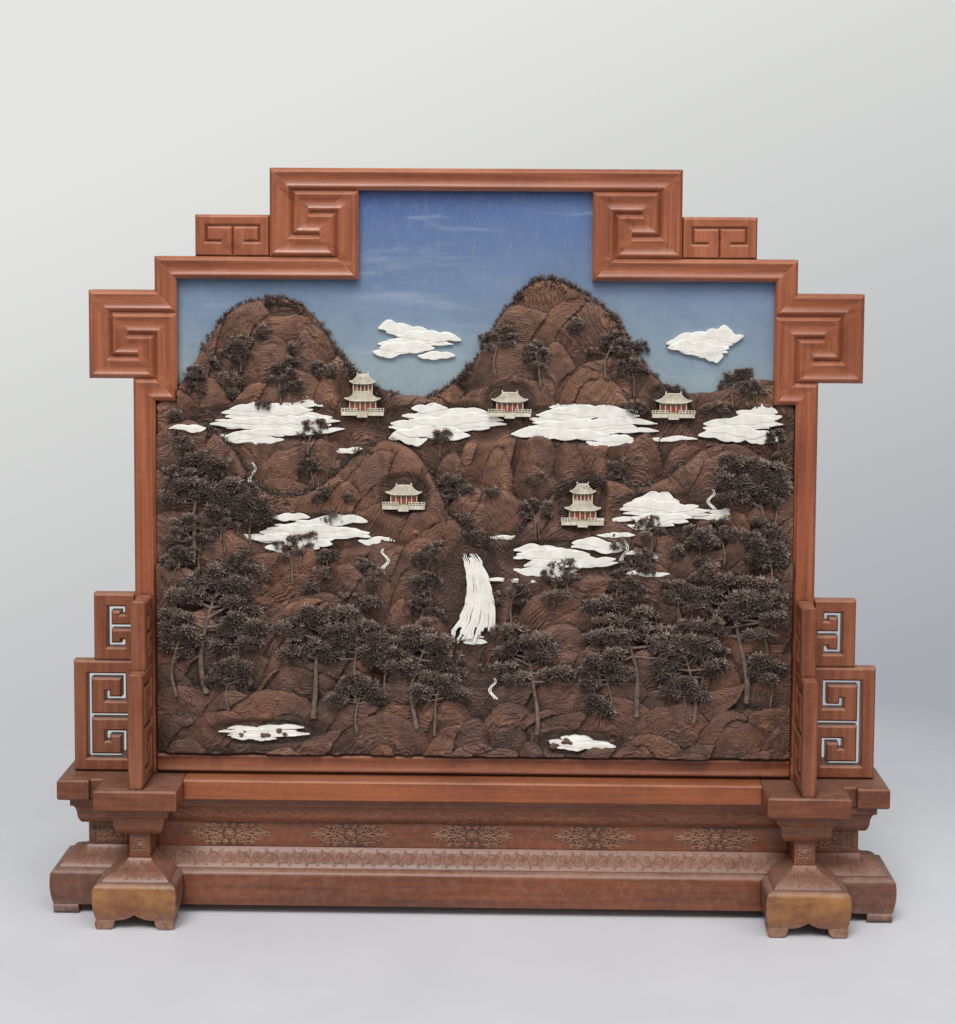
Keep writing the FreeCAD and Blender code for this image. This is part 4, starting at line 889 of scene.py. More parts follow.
relief = {
    "columns": 640, "rows": 152, "clear": 0.0005,  # metres to the frame
    "crestRound": 0.026, "crownRound": 0.032, "edgeRound": 0.05,  # metres from an edge to full depth
    "breaks": ((11, 0.010), (34, 0.005), (90, 0.002)),  # of a crest: per metre, and height in metres
    "grooveStep": 0.0100, "grooveDepth": 0.0032, "waver": 0.9, "grit": 0.0036,
    "footShade": 1.5,  # darkening down to the foot of each rock
    "hidden": 0.06,  # metres that a layer goes on behind the one before it
    "least": 0.02, "rise": 0.07,  # metres of height, and from the layer before to full depth
    "roomAcross": 0.012, "roomUp": 0.022, "roomRise": 0.016, "inlayDepth": 0.0030,  # space round the inlays
    "under": 0.003,  # metres above an inlay's foot
}


def valueNoise(x, z, scale, seed):
    # Smooth random field between 0 and 1
    gx, gz = x * scale, z * scale
    ix, iz = np.floor(gx), np.floor(gz)
    fx, fz = gx - ix, gz - iz
    fx, fz = fx * fx * (3 - 2 * fx), fz * fz * (3 - 2 * fz)

    def lattice(i, j):
        wave = np.sin(i * 127.1 + j * 311.7 + seed * 74.7) * 43758.5453
        return wave - np.floor(wave)

    low = lattice(ix, iz) * (1 - fx) + lattice(ix + 1, iz) * fx
    high = lattice(ix, iz + 1) * (1 - fx) + lattice(ix + 1, iz + 1) * fx
    return low * (1 - fz) + high * fz


def crestAt(name, xs):
    # Top of a CAD layer over each x, with small breaks
    spots = np.array([corner.co for corner in nodes[name].data.vertices])
    front = spots[spots[:, 1] < spots[:, 1].min() + 1e-4]
    places = np.unique(np.round(front[:, 0], 4))
    tops = np.array([front[np.abs(front[:, 0] - x) < 2e-4, 2].max() for x in places])
    crest = np.interp(xs, places, tops)
    for scale, height in relief["breaks"]:
        crest = crest + (valueNoise(xs, xs * 0, scale, 3) - 0.5) * height
    return crest


def ceilingAt(xs):
    # Underside of the frame over each x, with no limit in the middle
    inner = np.where(np.abs(xs) > headHalf, shoulderLevel, farOff)
    return np.where(np.abs(xs) > upperHalf, jogLevel, inner) - relief["clear"]


# Carved rock

layerLooks = {
    "far_mountains": {"seed": 11, "half": 0.110, "tall": 0.190, "swell": 0.022, "turn": 1.2, "lift": 0.004,
                      "before": "middle_mountains", "slot": "rock_far"},
    "middle_mountains": {"seed": 23, "half": 0.110, "tall": 0.170, "swell": 0.023, "turn": 0.9, "lift": 0.003,
                         "before": "near_rocks", "slot": "rock_middle"},
    "near_rocks": {"seed": 37, "half": 0.120, "tall": 0.135, "swell": 0.024, "turn": 0.5, "lift": 0.002,
                   "before": None, "slot": "rock_near"},
}


def inlaysOn(face):
    return [solid for solid in cloudSolids + hallSolids + waterSolids
            if abs(solid[:, 1].max() - face) < 0.001]


def awayFrom(solid, x, z):
    # 1 on an oval round an inlay, more outside it
    low, high = solid.min(0), solid.max(0)
    middle, half = (low + high) / 2, (high - low) / 2
    return (np.abs((x - middle[0]) / (half[0] + relief["roomAcross"])) ** 2.5
            + np.abs((z - middle[2]) / (half[2] + relief["roomUp"])) ** 2)


def roomFor(x, z, face):
    # How far rock may stand out beside the inlays on a face, and the level from which it lies behind them
    room, level = np.full(x.shape, farOff), np.full(x.shape, farOff)
    for solid in inlaysOn(face):
        away = awayFrom(solid, x, z)
        room = np.minimum(room, relief["inlayDepth"] + np.maximum(0, away - 1) * relief["roomRise"])
        level = np.where(away < 2, np.minimum(level, solid[:, 2].min() + relief["under"]), level)
    return room, level


def rockScales(x, z, look):
    # Rounded rocks painted from the top down, each in front of those above it
    rng = np.random.default_rng(look["seed"])
    warp = (valueNoise(x, z, 13, look["seed"]) - 0.5) * 2 + (valueNoise(x, z, 37, look["seed"] + 3) - 0.5)
    depth = np.full(x.shape, look["swell"] * 0.4)
    flow = (x + warp * 0.02) / relief["grooveStep"]
    tone, crowns = np.full(x.shape, 0.5), np.full(x.shape, farOff)
    across, up = look["half"] * 0.9, look["tall"] * 0.46
    for row, crown in enumerate(np.arange(z.max() + look["tall"] * 0.1, z.min() - look["tall"] * 0.2, -up)):
        for place in np.arange(-openingHalf - across * 0.5 * (row % 2), openingHalf + across, across):
            mx = place + rng.uniform(-0.4, 0.4) * across
            mz = crown + rng.uniform(-0.45, 0.45) * up
            half = look["half"] * rng.uniform(0.5, 1.5)
            tall = look["tall"] * rng.uniform(0.65, 1.4)
            bulk = rng.uniform(0.7, 1.15)
            lean, shade = rng.uniform(-0.6, 0.6), rng.uniform(0, 1)
            turn = rng.uniform(-1, 1) * look["turn"]
            near = np.flatnonzero(((np.abs(x - mx) < half) & (z < mz + 0.05) & (z > mz - tall)).ravel())
            if not len(near):
                continue
            dx = (x.flat[near] - mx) / half
            wave = warp.flat[near]
            outline = mz - tall * np.abs(dx) ** 2.4 + lean * dx * (1 - dx * dx) * tall * 0.5 + wave * 0.013
            drop = outline - z.flat[near]
            inside = drop > 0
            near, dx, wave, drop = near[inside], dx[inside], wave[inside], drop[inside]
            fall = np.clip((mz - z.flat[near]) / tall, 0, 1)
            rise = 0.60 + 0.40 * np.sqrt(1 - (1 - np.clip(drop / relief["crownRound"], 0, 1)) ** 2)
            folds = 1 + 0.16 * np.sin(dx * 7 + wave * 4 + shade * 6)
            depth.flat[near] = look["swell"] * bulk * rise * folds * (1 - 0.9 * fall ** 0.85)
            run = drop * math.cos(turn) + dx * half * math.sin(turn) + wave * 0.008
            flow.flat[near] = run / relief["grooveStep"]
            tone.flat[near] = shade
            crowns.flat[near] = mz
    return depth, flow, tone, crowns


def carvedLayer(name, look):
    low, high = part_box(name)
    count = relief["columns"]
    xs = np.linspace(-openingHalf, openingHalf, count)
    openCrest = crestAt(name, xs)
    crest = np.minimum(openCrest, ceilingAt(xs))
    lower = crestAt(look["before"], xs) if look["before"] else np.full(count, -farOff)
    foot = np.minimum(np.maximum(floorLevel, lower - relief["hidden"]), crest - relief["least"])
    rows = np.linspace(0, 1, relief["rows"])[:, None]
    z = foot + (crest - foot) * rows
    x = np.broadcast_to(xs, z.shape).copy()
    swell, flow, tone, crowns = rockScales(x, z, look)
    room, level = roomFor(x, z, low.y)
    swell = np.where(crowns > level, np.minimum(swell, room), swell)
    above = np.clip((z - lower) / relief["rise"], 0, 1)
    edge = np.clip(np.minimum(openingHalf - np.abs(x), ceilingAt(x) - z) / relief["edgeRound"], 0, 1)
    flow = flow + relief["waver"] * (valueNoise(x, z, 55, look["seed"] + 5) - 0.5)
    groove = np.abs(np.sin(flow * math.pi)) ** 0.6
    cut = relief["grooveDepth"] * (0.4 + 1.2 * valueNoise(x, z, 28, look["seed"] + 7))
    grit = relief["grit"] * (valueNoise(x, z, 150, look["seed"]) - 0.5)
    body = swell * (0.12 + 0.88 * above) * (0.3 + 0.7 * edge) + cut * (groove - 0.6) + grit
    rounding = np.sqrt(1 - (1 - np.clip((openCrest - z) / relief["crestRound"], 0, 1)) ** 2)
    y = high.y - look["lift"] - rounding * ((high.y - low.y) * 0.45 + body)
    # Painted shade in the grooves and down to the foot of each rock, where it goes behind the next one
    hollow = np.clip((1 - groove) * 0.7 + (0.62 - swell / look["swell"]) * relief["footShade"], 0, 1)
    front = np.stack([x, y, z], -1).reshape(-1, 3)
    bottom = np.full(count, floorLevel)
    back = np.full(count, high.y)
    rings = [np.stack([xs, back, bottom], -1), np.stack([xs, back, crest], -1)]
    hasSkirt = (foot > floorLevel + 1e-6).any()
    if hasSkirt:
        rings.append(np.stack([xs, y[0], bottom - 1e-5], -1))
    size = len(front)
    under, behind = size, size + count
    skirt = size + 2 * count if hasSkirt else 0
    top = (relief["rows"] - 1) * count
    strips = [(row * count, (row + 1) * count) for row in range(relief["rows"] - 1)]
    strips += [(under, skirt), (top, behind), (behind, under)]
    if hasSkirt:
        strips.append((skirt, 0))
    faces = [(first + j, first + j + 1, second + j + 1, second + j)
             for first, second in strips for j in range(count - 1)]
    for j, order in ((0, 1), (count - 1, -1)):
        rim = [under + j] + ([skirt + j] if hasSkirt else [])
        rim += [row * count + j for row in range(relief["rows"])] + [behind + j]
        faces.append(tuple(rim[::order]))
    mesh = bpy.data.meshes.new(name + "_carved")
    mesh.from_pydata(np.concatenate([front] + rings).tolist(), [], faces)
    rest = np.zeros(count * len(rings))
    hollow, tone, flow = (np.concatenate([values.ravel(), rest]) for values in (hollow, tone, flow))
    carry(mesh, hollow=hollow, tone=tone, flow=flow)
    mesh.shade_smooth()
    mesh.materials.append(finishes["rock"])
    settle(pieceFrom(name + "_carved", mesh), "screen", look["slot"], name)
    print(name, "carved:", len(mesh.polygons), "faces")
    return BVHTree.FromPolygons([corner.co.copy() for corner in mesh.vertices],
                                [list(face.vertices) for face in mesh.polygons])


layerSurfaces = [carvedLayer(name, look) for name, look in layerLooks.items()]
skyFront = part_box("far_mountains")[1].y


def frontAt(x, z):
    # Foremost carved surface at a point of the picture
    start, aim = Vector((x, -beyond["y"], z)), Vector((0, 1, 0))
    hits = [surface.ray_cast(start, aim)[0] for surface in layerSurfaces]
    return min([hit.y for hit in hits if hit] + [skyFront])


# Pines, bushes and the fringe on the crests

tuftShape = {"blades": 8, "width": 0.17, "spread": 1.25, "turn": 2.39996, "root": 0.3}  # angles in radians


def makeTuft(shape):
    # A fan of tapering blades one unit long, kept out of the picture
    spots, faces = [], []
    for number in range(shape["blades"]):
        turn = number * shape["turn"]
        tilt = shape["spread"] * math.sqrt((number + 0.5) / shape["blades"])
        tip = Vector((math.sin(tilt) * math.cos(turn), math.sin(tilt) * math.sin(turn), math.cos(tilt)))
        side = tip.cross(Vector((0, 0, 1))).normalized()
        other = tip.cross(side)
        start = len(spots)
        ring = [side, -side * 0.5 + other * 0.8, -side * 0.5 - other * 0.8]
        spots += [tuple(r * shape["width"] + tip * shape["root"]) for r in ring] + [tuple(tip)]
        faces += [(start + j, start + (j + 1) % 3, start + 3) for j in range(3)]
    mesh = bpy.data.meshes.new("tuft")
    mesh.from_pydata(spots, [], faces)
    return bpy.data.objects.new("tuft", mesh)


tuft = makeTuft(tuftShape)

pineLook = {
    "seed": 5, "companions": 3,
    "tree": {"trunk": 1.0, "clumps": 11, "tufts": 24, "size": 0.0145, "clear": 0.007},
    "trunk": 0.0062,
    "spread": 0.11,  # metres between the trees of a group
    "edge": 0.018,  # metres clear of the frame
}
slopeLook = {
    "seed": 41, "trees": 58, "bushes": 70,
    "tree": {"trunk": 1.5, "clumps": 6, "tufts": 9, "size": 0.0100, "clear": 0.005},
    "low": 0.055, "high": 0.115,  # heights of the small trees, metres
    "bushSize": 0.024, "bushTufts": 20, "room": 0.03,  # metres, metres to the crest and the frame
}
treeShape = {
    "height": 0.92, "sway": 0.012, "bare": 0.54,  # by the tree's height: to the trunk's end, wave, first limb
    "full": 0.26,  # metres, height of a tree whose trunk has its full radius
    "steps": 12, "off": 0.002, "flat": 0.36,  # of the trunk, metres off the rock, a clump's rise by its half
    "limb": (0.6, 0.5, 0.45, 0.3),  # thickness along a limb
}


def insideFrame(x, z, edge):
    half = openingHalf if z < jogLevel - edge else upperHalf if z < shoulderLevel - edge else headHalf
    return abs(x) < half - edge and z > floorLevel + edge


def clump(rng, middle, half, rise, number, size, growth):
    # A flat cushion of tufts that look forward and up
    for _ in range(number):
        turn, out = rng.uniform(0, 2 * math.pi), math.sqrt(rng.uniform(0, 1))
        bulge = math.sqrt(max(0, 1 - out * out)) * rise * 0.5
        place = middle + Vector((math.cos(turn) * half * out, -bulge, math.sin(turn) * rise * out))
        if not insideFrame(place.x, place.z, pineLook["edge"]):
            continue
        facing = Vector((math.cos(turn) * out * 0.9, -0.75, 0.45 + math.sin(turn) * out * 0.7)).normalized()
        # The last value is painted light on top of the cushion and painted shade under it
        growth.append((place, facing, size * rng.uniform(0.7, 1.25), 0.5 + 0.5 * math.sin(turn) * out))


def growTree(rng, foot, tall, lean, look, limbs, growth):
    # Bent trunk that lies on the rock, limbs to alternate sides, and flat clumps at their ends
    head = foot + Vector((lean * tall * rng.uniform(0.08, 0.22), 0, tall * treeShape["height"]))
    head.y = frontAt(head.x, head.z) - look["clear"]
    bow, wave = -lean * tall * rng.uniform(0.04, 0.10), rng.uniform(0, 6)
    steps, bare, thin = treeShape["steps"], treeShape["bare"], tall / treeShape["full"]
    trunk = []
    for share in np.linspace(0, 1, steps + 1):
        sway = math.sin(share * math.pi) * bow + math.sin(share * 8 + wave) * treeShape["sway"] * tall
        place = foot.lerp(head, share) + Vector((sway, 0, 0))
        place.y = min(place.y, frontAt(place.x, place.z) - treeShape["off"])
        trunk.append((place, (1.2 - 0.8 * share) * look["trunk"] * thin))
    limbs.append(trunk)
    for number in range(look["clumps"]):
        share = bare + (1 - bare) * (number + 0.5) / look["clumps"]
        stem = trunk[round(share * steps)][0]
        side = 1 if number % 2 else -1
        reach = tall * rng.uniform(0.14, 0.52) * (1.35 - share)
        middle = stem + Vector((side * reach, 0, tall * rng.uniform(0.02, 0.12)))
        if not insideFrame(middle.x, middle.z, pineLook["edge"]):
            continue
        middle.y = frontAt(middle.x, middle.z) - look["clear"] * rng.uniform(0.7, 1.6)
        drop = tall * rng.uniform(-0.04, 0.01)
        knee = stem.lerp(middle, 0.55) + Vector((0, -treeShape["off"], drop))
        places = (stem, stem.lerp(knee, 0.5), knee, middle)
        limbs.append([(place, width * thin) for place, width in zip(places, treeShape["limb"])])
        half = tall * rng.uniform(0.11, 0.18)
        clump(rng, middle, half, half * treeShape["flat"], look["tufts"], look["size"], growth)


def growPines(look):
    rng = np.random.default_rng(look["seed"])
    limbs, growth = [], []
    for solid in pineSolids:
        low, high = solid.min(0), solid.max(0)
        root = solid[solid[:, 2] < low[2] + 1e-3].mean(0)
        crown = solid[solid[:, 2] > high[2] - 1e-3].mean(0)
        lean = 1 if crown[0] > root[0] else -1
        for number in range(1 + look["companions"]):
            tall = (high[2] - low[2]) * (1.2 if number == 0 else rng.uniform(0.36, 0.95))
            shift = (0, 1, -1, 1)[number] * look["spread"] * rng.uniform(0.4, 1.5)
            x = max(-openingHalf + 0.05, min(openingHalf - 0.05, root[0] + shift))
            z = root[2] + rng.uniform(-0.08, 0.10) * (number > 0)
            if z < floorLevel + look["edge"] or any(awayFrom(pool, x, z) < 1.2 for pool in waterSolids):
                continue
            growTree(rng, Vector((x, frontAt(x, z) - 0.003, z)), tall, lean, look["tree"], limbs, growth)
    settle(carvedPiece("pine_trunks", limbs, look["trunk"], finishes["bark"], 7), "screen", "pine")
    settle(tuftPiece("pine_needles", growth, tuft, finishes["needles"], 3), "screen", "pine", "pines")
    print("pines:", len(limbs), "limbs,", len(growth), "tufts")


growPines(pineLook)

shrubLook = {
    "seed": 9, "step": 0.0075, "size": 0.0105, "rows": 3, "rowDrop": 0.009, "rowOut": 0.004,
    "breaks": ((14, 0.7), (45, 0.3)), "bare": 0.46,  # per metre and share, and where the fringe stops
    "clear": 0.02, "off": 0.005,  # metres to the frame, and in front of the layer's back
}


def growShrubs(look):
    # Broken dark fringe along the crests
    rng = np.random.default_rng(look["seed"])
    growth = []
    for name in ("far_mountains", "middle_mountains"):
        xs = np.arange(-openingHalf + look["clear"], openingHalf - look["clear"], look["step"])
        thickness = sum(valueNoise(xs, xs * 0, scale, look["seed"]) * share
                        for scale, share in look["breaks"])
        for x, crest, thick in zip(xs, crestAt(name, xs), thickness):
            if thick < look["bare"] or crest > ceilingAt(x) - look["clear"]:
                continue
            for row in range(look["rows"]):
                shift, lift = rng.uniform(-0.005, 0.005), rng.uniform(-0.005, 0.004)
                place = Vector((x + shift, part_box(name)[1].y - look["off"] - row * look["rowOut"],
                                crest - row * look["rowDrop"] + lift))
                facing = Vector((rng.uniform(-0.6, 0.6), -0.6, 1)).normalized()
                size = look["size"] * rng.uniform(0.6, 1.2) * (0.3 + thick * 1.5)
                # The last value is painted shade, darker on the lower rows
                growth.append((place, facing, size, 0.5 - 0.2 * row))
    settle(tuftPiece("crest_shrubs", growth, tuft, finishes["needles"], 8), "screen", "pine")
    print("shrubs:", len(growth), "tufts")


growShrubs(shrubLook)


def openSlope(rng, name):
    # A place on a layer's slope that is clear of its inlays
    before = layerLooks[name]["before"]
    while True:
        x = rng.uniform(-openingHalf + 0.04, openingHalf - 0.04)
        crest = min(crestAt(name, np.array([x]))[0], ceilingAt(x))
        lower = crestAt(before, np.array([x]))[0]
        z = lower + rng.uniform(0.0, 0.85) * (crest - lower)
        clear = all(awayFrom(solid, x, z + 0.02) > 1.6 for solid in inlaysOn(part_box(name)[0].y))
        apart = all(awayFrom(hall, x, z + rise) > 1.8 for hall in hallSolids for rise in (0.0, 0.05, 0.1))
        if crest - z > slopeLook["room"] and clear and apart and insideFrame(x, z, slopeLook["room"]):
            return Vector((x, frontAt(x, z) - treeShape["off"], z)), crest - z


def growSlopes(look):
    # Small trees and bushes over the far and middle slopes
    rng = np.random.default_rng(look["seed"])
    limbs, growth = [], []
    names = ("far_mountains", "middle_mountains", "middle_mountains")
    for number in range(look["trees"]):
        foot, head = openSlope(rng, names[number % 3])
        tall = min(rng.uniform(look["low"], look["high"]), head + look["room"])
        growTree(rng, foot, tall, rng.choice((-1, 1)), look["tree"], limbs, growth)
    for number in range(look["bushes"]):
        foot = openSlope(rng, names[number % 3])[0]
        size = look["bushSize"] * rng.uniform(0.6, 1.3)
        clump(rng, foot, size, size * 0.7, look["bushTufts"], look["tree"]["size"], growth)
    settle(carvedPiece("slope_trunks", limbs, pineLook["trunk"], finishes["bark"], 5), "screen", "pine")
    settle(tuftPiece("slope_needles", growth, tuft, finishes["needles"], 6), "screen", "pine")
    print("slopes:", len(limbs), "limbs,", len(growth), "tufts")


growSlopes(slopeLook)


# Clouds and water

cloudLook = {
    "seed": 17, "tongues": 10, "tall": 0.026,  # height of one tongue
    "spread": 2.1,  # height of a bank by its solid
    "proud": 0.005, "step": 0.0008, "edge": 0.0014, "root": 0.006,
    "wisps": 4, "wispDepth": 0.006, "wispProud": 0.002, "clear": 0.03,  # metres, and metres to the frame
}
poolLook = {
    "tongues": 11, "tall": 0.012, "spread": 2.6, "proud": 0.006, "step": 0.0006, "edge": 0.001, "root": 0.006,
}


def joinRings(shape, first, second):
    # Faces between two closed rings with as many points
    for j in range(len(first)):
        after = (j + 1) % len(first)
        shape.faces.new((first[j], first[after], second[after], second[j]))


def cloudTongue(shape, rng, left, right, level, tall, front, back, edge):
    # A flat tongue with pointed ends whose rims run in long low lobes
    width = right - left
    count = max(20, int(width / 0.004))
    u = np.linspace(0, 1, count)
    peak = rng.uniform(0.35, 0.65)
    skewed = np.where(u < peak, u / peak * 0.5, 0.5 + (u - peak) / (1 - peak) * 0.5)
    taper = np.sin(math.pi * np.clip(skewed, 0.012, 0.988)) ** 0.62
    lobes = max(2, round(width / rng.uniform(0.045, 0.075)))
    upper = tall * (0.36 + 0.24 * np.abs(np.sin(u * lobes * math.pi + rng.uniform(0, 3)))) * taper
    lower = tall * (0.30 + 0.14 * np.abs(np.sin(u * (lobes + 1) * math.pi + rng.uniform(0, 3)))) * taper
    bend = rng.uniform(-0.25, 0.25) * tall * np.sin(u * math.pi * 2)
    rims = []
    for inset, y in ((0, back), (0, front + edge), (edge * 0.3, front + edge * 0.3), (edge, front)):
        xs = left + inset + u * (width - 2 * inset)
        high = level + bend + np.maximum(upper - inset, upper * 0.3)
        low = level + bend - np.maximum(lower - inset, lower * 0.3)
        rims.append([shape.verts.new((x, y, z)) for x, z in zip(xs, low)]
                    + [shape.verts.new((x, y, z)) for x, z in zip(xs[::-1], high[::-1])])
    for first, second in zip(rims, rims[1:]):
        joinRings(shape, first, second)
    for rim in (rims[0], rims[-1]):
        for j in range(count - 1):
            shape.faces.new((rim[j], rim[j + 1], rim[-2 - j], rim[-1 - j]))


def layBank(shape, rng, solid, look):
    # Tongues one over another, the long ones in the middle
    low, high = solid.min(0), solid.max(0)
    width, tall = high[0] - low[0], high[2] - low[2]
    tongues = round(look["tongues"] * min(1, 0.3 + width * 2))
    for number in range(tongues):
        share = number / (tongues - 1)
        span = width * (rng.uniform(0.25, 0.50) + 0.50 * (1 - abs(2 * share - 1)))
        x = low[0] + rng.uniform(0, 1) * (width - span)
        level = low[2] + tall / 2 + (share - 0.5) * tall * look["spread"] * tongues / look["tongues"]
        front = low[1] - look["proud"] - look["step"] * (number % 3)
        cloudTongue(shape, rng, x, x + span, level, look["tall"] * rng.uniform(0.8, 1.4), front,
                    high[1] + look["root"], look["edge"])


def layWisps(shape, rng, solid, look):
    # Thin tongues on the rock beside a bank
    low, high = solid.min(0), solid.max(0)
    for number in range(look["wisps"]):
        side = -1 if number % 2 else 1
        span = rng.uniform(0.07, 0.15)
        x = (high[0] if side > 0 else low[0]) + side * rng.uniform(-0.02, 0.05)
        z = rng.uniform(low[2] - 0.05, high[2] + 0.03)
        if not all(insideFrame(x + half * span, z, look["clear"]) for half in (-0.5, 0.5)):
            continue
        if any(awayFrom(hall, x, z) < 3 for hall in hallSolids):
            continue
        front = sum(frontAt(x + share * span, z) for share in (-0.3, 0, 0.3)) / 3 - look["wispProud"]
        cloudTongue(shape, rng, x - span / 2, x + span / 2, z, rng.uniform(0.012, 0.020), front,
                    front + look["wispDepth"], look["edge"])


def layClouds(look):
    rng = np.random.default_rng(look["seed"])
    shape = bmesh.new()
    for solid in cloudSolids:
        layBank(shape, rng, solid, look)
        if abs(solid[:, 1].max() - skyFront) > 0.001:
            layWisps(shape, rng, solid, look)
    piece = shapedPiece("cloud_banks", shape, finishes["ivory"])
    settle(piece, "screen", "ivory", "cloud_inlays")
    print("clouds:", len(piece.data.polygons), "faces")


layClouds(cloudLook)

waterLook = {
    "seed": 29, "stones": 5, "stone": 0.009, "foam": 4, "strands": 19, "strand": 0.0026, "proud": 0.006,
    # across and up as shares of the picture, length in metres
    "rills": ((-0.70, 0.52, 0.06), (-0.28, 0.37, 0.05), (0.47, 0.40, 0.07), (0.74, 0.48, 0.05),
              (-0.56, 0.24, 0.05), (0.06, 0.14, 0.05)),
}


def layWater(look):
    # Strands down the fall, pools with stones in them, and thin rills
    rng = np.random.default_rng(look["seed"])
    shape, stones = bmesh.new(), bmesh.new()
    strands = []
    for solid in waterSolids:
        low, high = solid.min(0), solid.max(0)
        if high[2] - low[2] < 0.05:
            layBank(shape, rng, solid, poolLook)
            for _ in range(look["stones"]):
                place = Vector((rng.uniform(low[0], high[0]), low[1] - 0.004, rng.uniform(low[2], high[2])))
                wide = look["stone"] * rng.uniform(0.6, 1.4)
                swell = Vector((wide, wide * 0.5, wide * rng.uniform(0.5, 0.9)))
                for corner in bmesh.ops.create_icosphere(stones, subdivisions=4, radius=1.0)["verts"]:
                    lumps = noise.noise(corner.co * 1.3 + place * 40)
                    rough = 1 + 0.5 * lumps + 0.16 * noise.noise(corner.co * 5)
                    corner.co = place + corner.co * rough * swell
            continue
        spots = solid[solid[:, 1] < low[1] + 1e-4]
        levels = np.linspace(low[2] + 0.001, high[2] - 0.001, 24)
        leftAt = np.array([spots[np.abs(spots[:, 2] - z) < 0.02, 0].min(initial=farOff) for z in levels])
        rightAt = np.array([spots[np.abs(spots[:, 2] - z) < 0.02, 0].max(initial=-farOff) for z in levels])
        good = leftAt < rightAt
        for number in range(look["strands"]):
            share = (number + 0.5) / look["strands"]
            lean = rng.uniform(-0.03, 0.03)
            full = rng.uniform(0.75, 1.05) / look["strands"] / look["strand"]
            first, last = rng.integers(0, 5), good.sum() - rng.integers(0, 3)
            run = list(zip(leftAt[good], rightAt[good], levels[good]))[first:last]
            taper = np.sin(np.linspace(0.2, math.pi - 0.2, len(run))) ** 0.3
            line = []
            for (a, b, z), thin in zip(run, taper):
                x = a + (b - a) * (share + lean * math.sin(z * 40))
                line.append((Vector((x, low[1] - look["proud"], z)), full * (b - a) * thin))
            strands.append(line)
        for _ in range(look["foam"]):
            span = rng.uniform(0.05, 0.09)
            x = (leftAt[good][0] + rightAt[good][0] - span) / 2 + rng.uniform(-0.02, 0.02)
            z = low[2] + rng.uniform(-0.004, 0.014)
            front = min(frontAt(x + span * share, z) for share in (0.2, 0.5, 0.8)) - 0.003
            cloudTongue(shape, rng, x, x + span, z, rng.uniform(0.009, 0.014), front, high[1] + 0.004,
                        poolLook["edge"])
    for across, up, length in look["rills"]:
        for strand in range(2):
            line = []
            for share in np.linspace(0, 1, 12):
                z = floorLevel + up * (skyTop - floorLevel) - share * length
                x = across * openingHalf + math.sin(share * 7 + across * 9) * 0.008
                x += strand * 0.003 * (1 + share)
                line.append((Vector((x, frontAt(x, z) - 0.0005, z)), 0.4 + 0.5 * share))
            strands.append(line)
    settle(carvedPiece("water_strands", strands, look["strand"], finishes["ivory"], 6), "screen", "ivory")
    settle(shapedPiece("water_pools", shape, finishes["ivory"]), "screen", "ivory", "water_inlays")
    piece = shapedPiece("pool_stones", stones, finishes["rock"])
    piece.data.shade_smooth()
    settle(piece, "screen", "rock_near")
    print("water:", len(strands), "strands")


layWater(waterLook)

# Halls

hallLook = {
    "terrace": 0.009, "terraceShare": 1.16, "depth": 0.013,  # metres, share of the eaves' width, metres
    "overhang": 0.009, "cornerLift": 0.007, "ridgeShare": 0.40, "storeyShare": 0.72, "roofLap": 0.3,
    "wall": 0.027, "roof": 0.022,  # heights in metres
    "ribs": 15, "rib": 0.0012, "columns": 6, "column": 1.5,  # radius of a rib in metres, columns by it
    "roomShare": 0.74, "panel": (0.0022, 0.004, 0.006),  # of the eaves, and metres beside, under and over
    "apron": 0.012, "steps": 4, "stepShare": 0.28, "stepFront": 0.014, "tread": 0.002,  # in front of the wall
    "gateShare": 0.3, "railFront": 0.011, "railLevels": (0.004, 0.0085), "railPost": 0.010, "railPosts": 6,
}


def addBox(shape, low, high):
    for corner in bmesh.ops.create_cube(shape, size=1.0)["verts"]:
        corner.co = Vector([(a + b) / 2 + c * (b - a) for a, b, c in zip(low, high, corner.co)])


def roofPoint(look, middle, half, eave, back, u, v):
    reach = half * (1 - (1 - look["ridgeShare"]) * v ** 0.8)
    lift = look["cornerLift"] * abs(u) ** 4 * (1 - v) ** 2
    return Vector((middle + u * reach, back - look["depth"] - look["overhang"] * (1 - v) ** 0.8,
                   eave + look["roof"] * v ** 1.35 + lift))


def addRoof(shape, look, middle, half, eave, back):
    # Hollow-curved roof with turned-up corners, closed against the rock behind it
    us, vs = np.linspace(-1, 1, 25), np.linspace(0, 1, 7)
    grid = [[shape.verts.new(roofPoint(look, middle, half, eave, back, u, v)) for u in us] for v in vs]
    for low, high in zip(grid, grid[1:]):
        for j in range(len(us) - 1):
            shape.faces.new((low[j], low[j + 1], high[j + 1], high[j]))
    rim = grid[0] + [row[-1] for row in grid[1:]] + grid[-1][-2::-1] + [row[0] for row in grid[-2:0:-1]]
    rear = [shape.verts.new((corner.co.x, back, corner.co.z)) for corner in rim]
    joinRings(shape, rim, rear)
    shape.faces.new(rear)


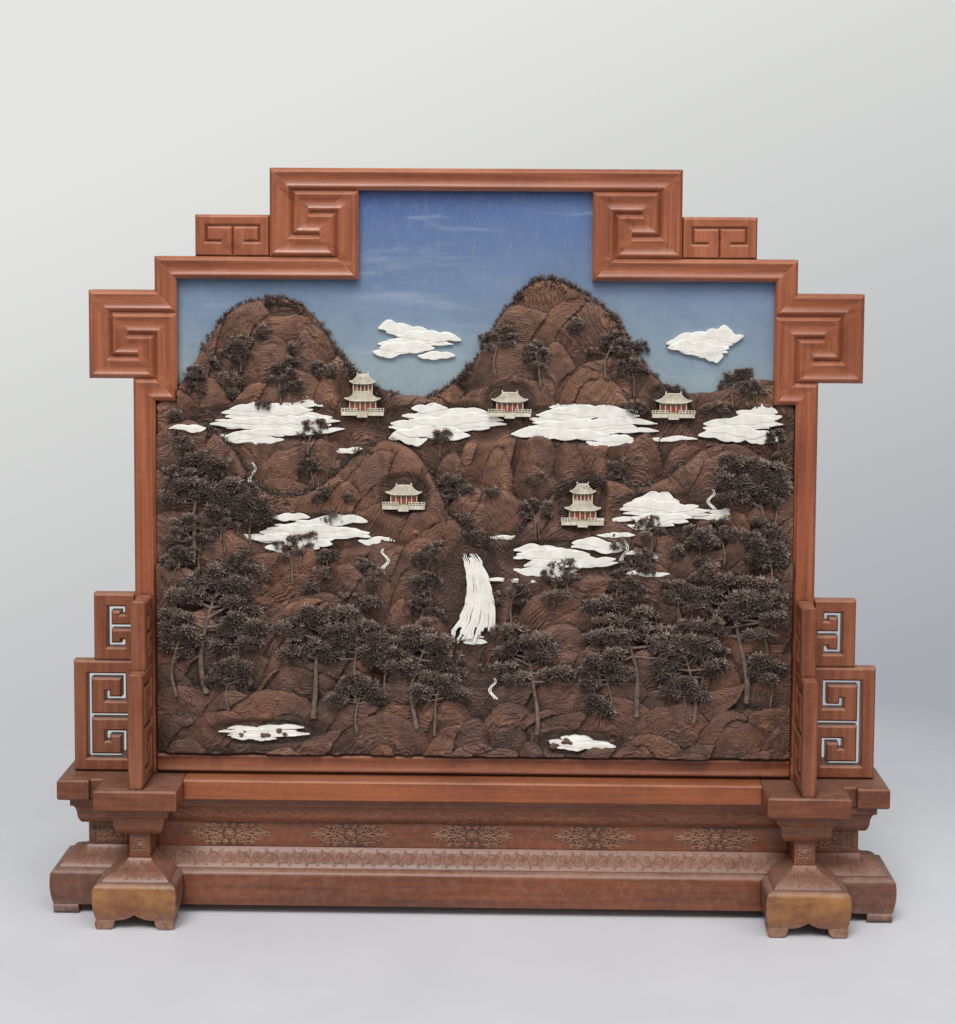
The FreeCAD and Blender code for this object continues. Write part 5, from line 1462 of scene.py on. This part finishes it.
def buildHalls(look):
    pale, red, lines = bmesh.new(), bmesh.new(), []
    for solid in hallSolids:
        low, high = solid.min(0), solid.max(0)
        middle, back = (low[0] + high[0]) / 2, high[1] + 0.004
        front = back - look["depth"]
        half = (high[0] - low[0]) / 2
        reach = half * look["terraceShare"]
        base = low[2]
        addBox(pale, (middle - reach, front - look["apron"], base - look["terrace"]),
               (middle + reach, back, base))
        tread = half * look["stepShare"]
        for step in range(look["steps"]):
            fall = look["terrace"] * (step + 1) / look["steps"]
            nose = front - look["stepFront"] - look["tread"] * step
            addBox(pale, (middle - tread, nose, base - fall - look["terrace"] * 0.4),
                   (middle + tread, back, base - fall + look["terrace"] * 0.2))
        gate, rail = half * look["gateShare"], front - look["railFront"]
        for first, last in ((middle - reach, middle - gate), (middle + gate, middle + reach)):
            for level in look["railLevels"]:
                lines.append([(Vector((x, rail, base + level)), 0.8) for x in (first, last)])
            for x in np.linspace(first, last, look["railPosts"]):
                lines.append([(Vector((x, rail, z)), 1.0) for z in (base, base + look["railPost"])])
        roofs = 2 if high[2] - low[2] > look["wall"] + look["roof"] + 0.01 else 1
        for storey in range(roofs):
            eaves = half * look["storeyShare"] ** storey
            room = eaves * look["roomShare"]
            foot = base + storey * (look["wall"] + look["roof"] * (1 - look["roofLap"]))
            eave = foot + look["wall"]
            addBox(pale, (middle - room, front, foot), (middle + room, back, eave))
            columns = np.linspace(middle - room * 0.96, middle + room * 0.96, look["columns"])
            beside, below, above = look["panel"]
            for a, b in zip(columns, columns[1:]):
                addBox(red, (a + beside, front - 0.0012, foot + below),
                       (b - beside, front + 0.001, eave - above))
            for x in columns:
                lines.append([(Vector((x, front - 0.002, z)), look["column"])
                              for z in (foot, (foot + eave) / 2, eave)])
            addRoof(pale, look, middle, eaves, eave, back)

            def onRoof(u, v, eaves=eaves, eave=eave):
                return roofPoint(look, middle, eaves, eave, back, u, v)

            for u in np.linspace(-1, 1, look["ribs"]):
                lines.append([(onRoof(u, v) + Vector((0, -0.0004, 0.0002)), 1.0)
                              for v in np.linspace(0, 1, 6)])
            for v, thick in ((0.0, 1.2), (1.0, 1.9)):
                lines.append([(onRoof(u, v), thick) for u in np.linspace(-1, 1, 21)])
            for sign in (-1, 1):
                end = onRoof(sign, 1.0)
                lines.append([(end, 1.9), (end + Vector((sign * 0.001, 0, 0.004)), 1.5),
                              (end + Vector((-sign * 0.0015, 0, 0.0065)), 0.7)])
    settle(shapedPiece("hall_bodies", pale, finishes["hall"]), "screen", "hall", "pavilions")
    settle(shapedPiece("hall_joinery", red, finishes["red"]), "screen", "hall")
    settle(carvedPiece("hall_timber", lines, look["rib"], finishes["hall"], 6), "screen", "hall")
    print("halls:", len(hallSolids), "with", len(lines), "rods")


buildHalls(hallLook)
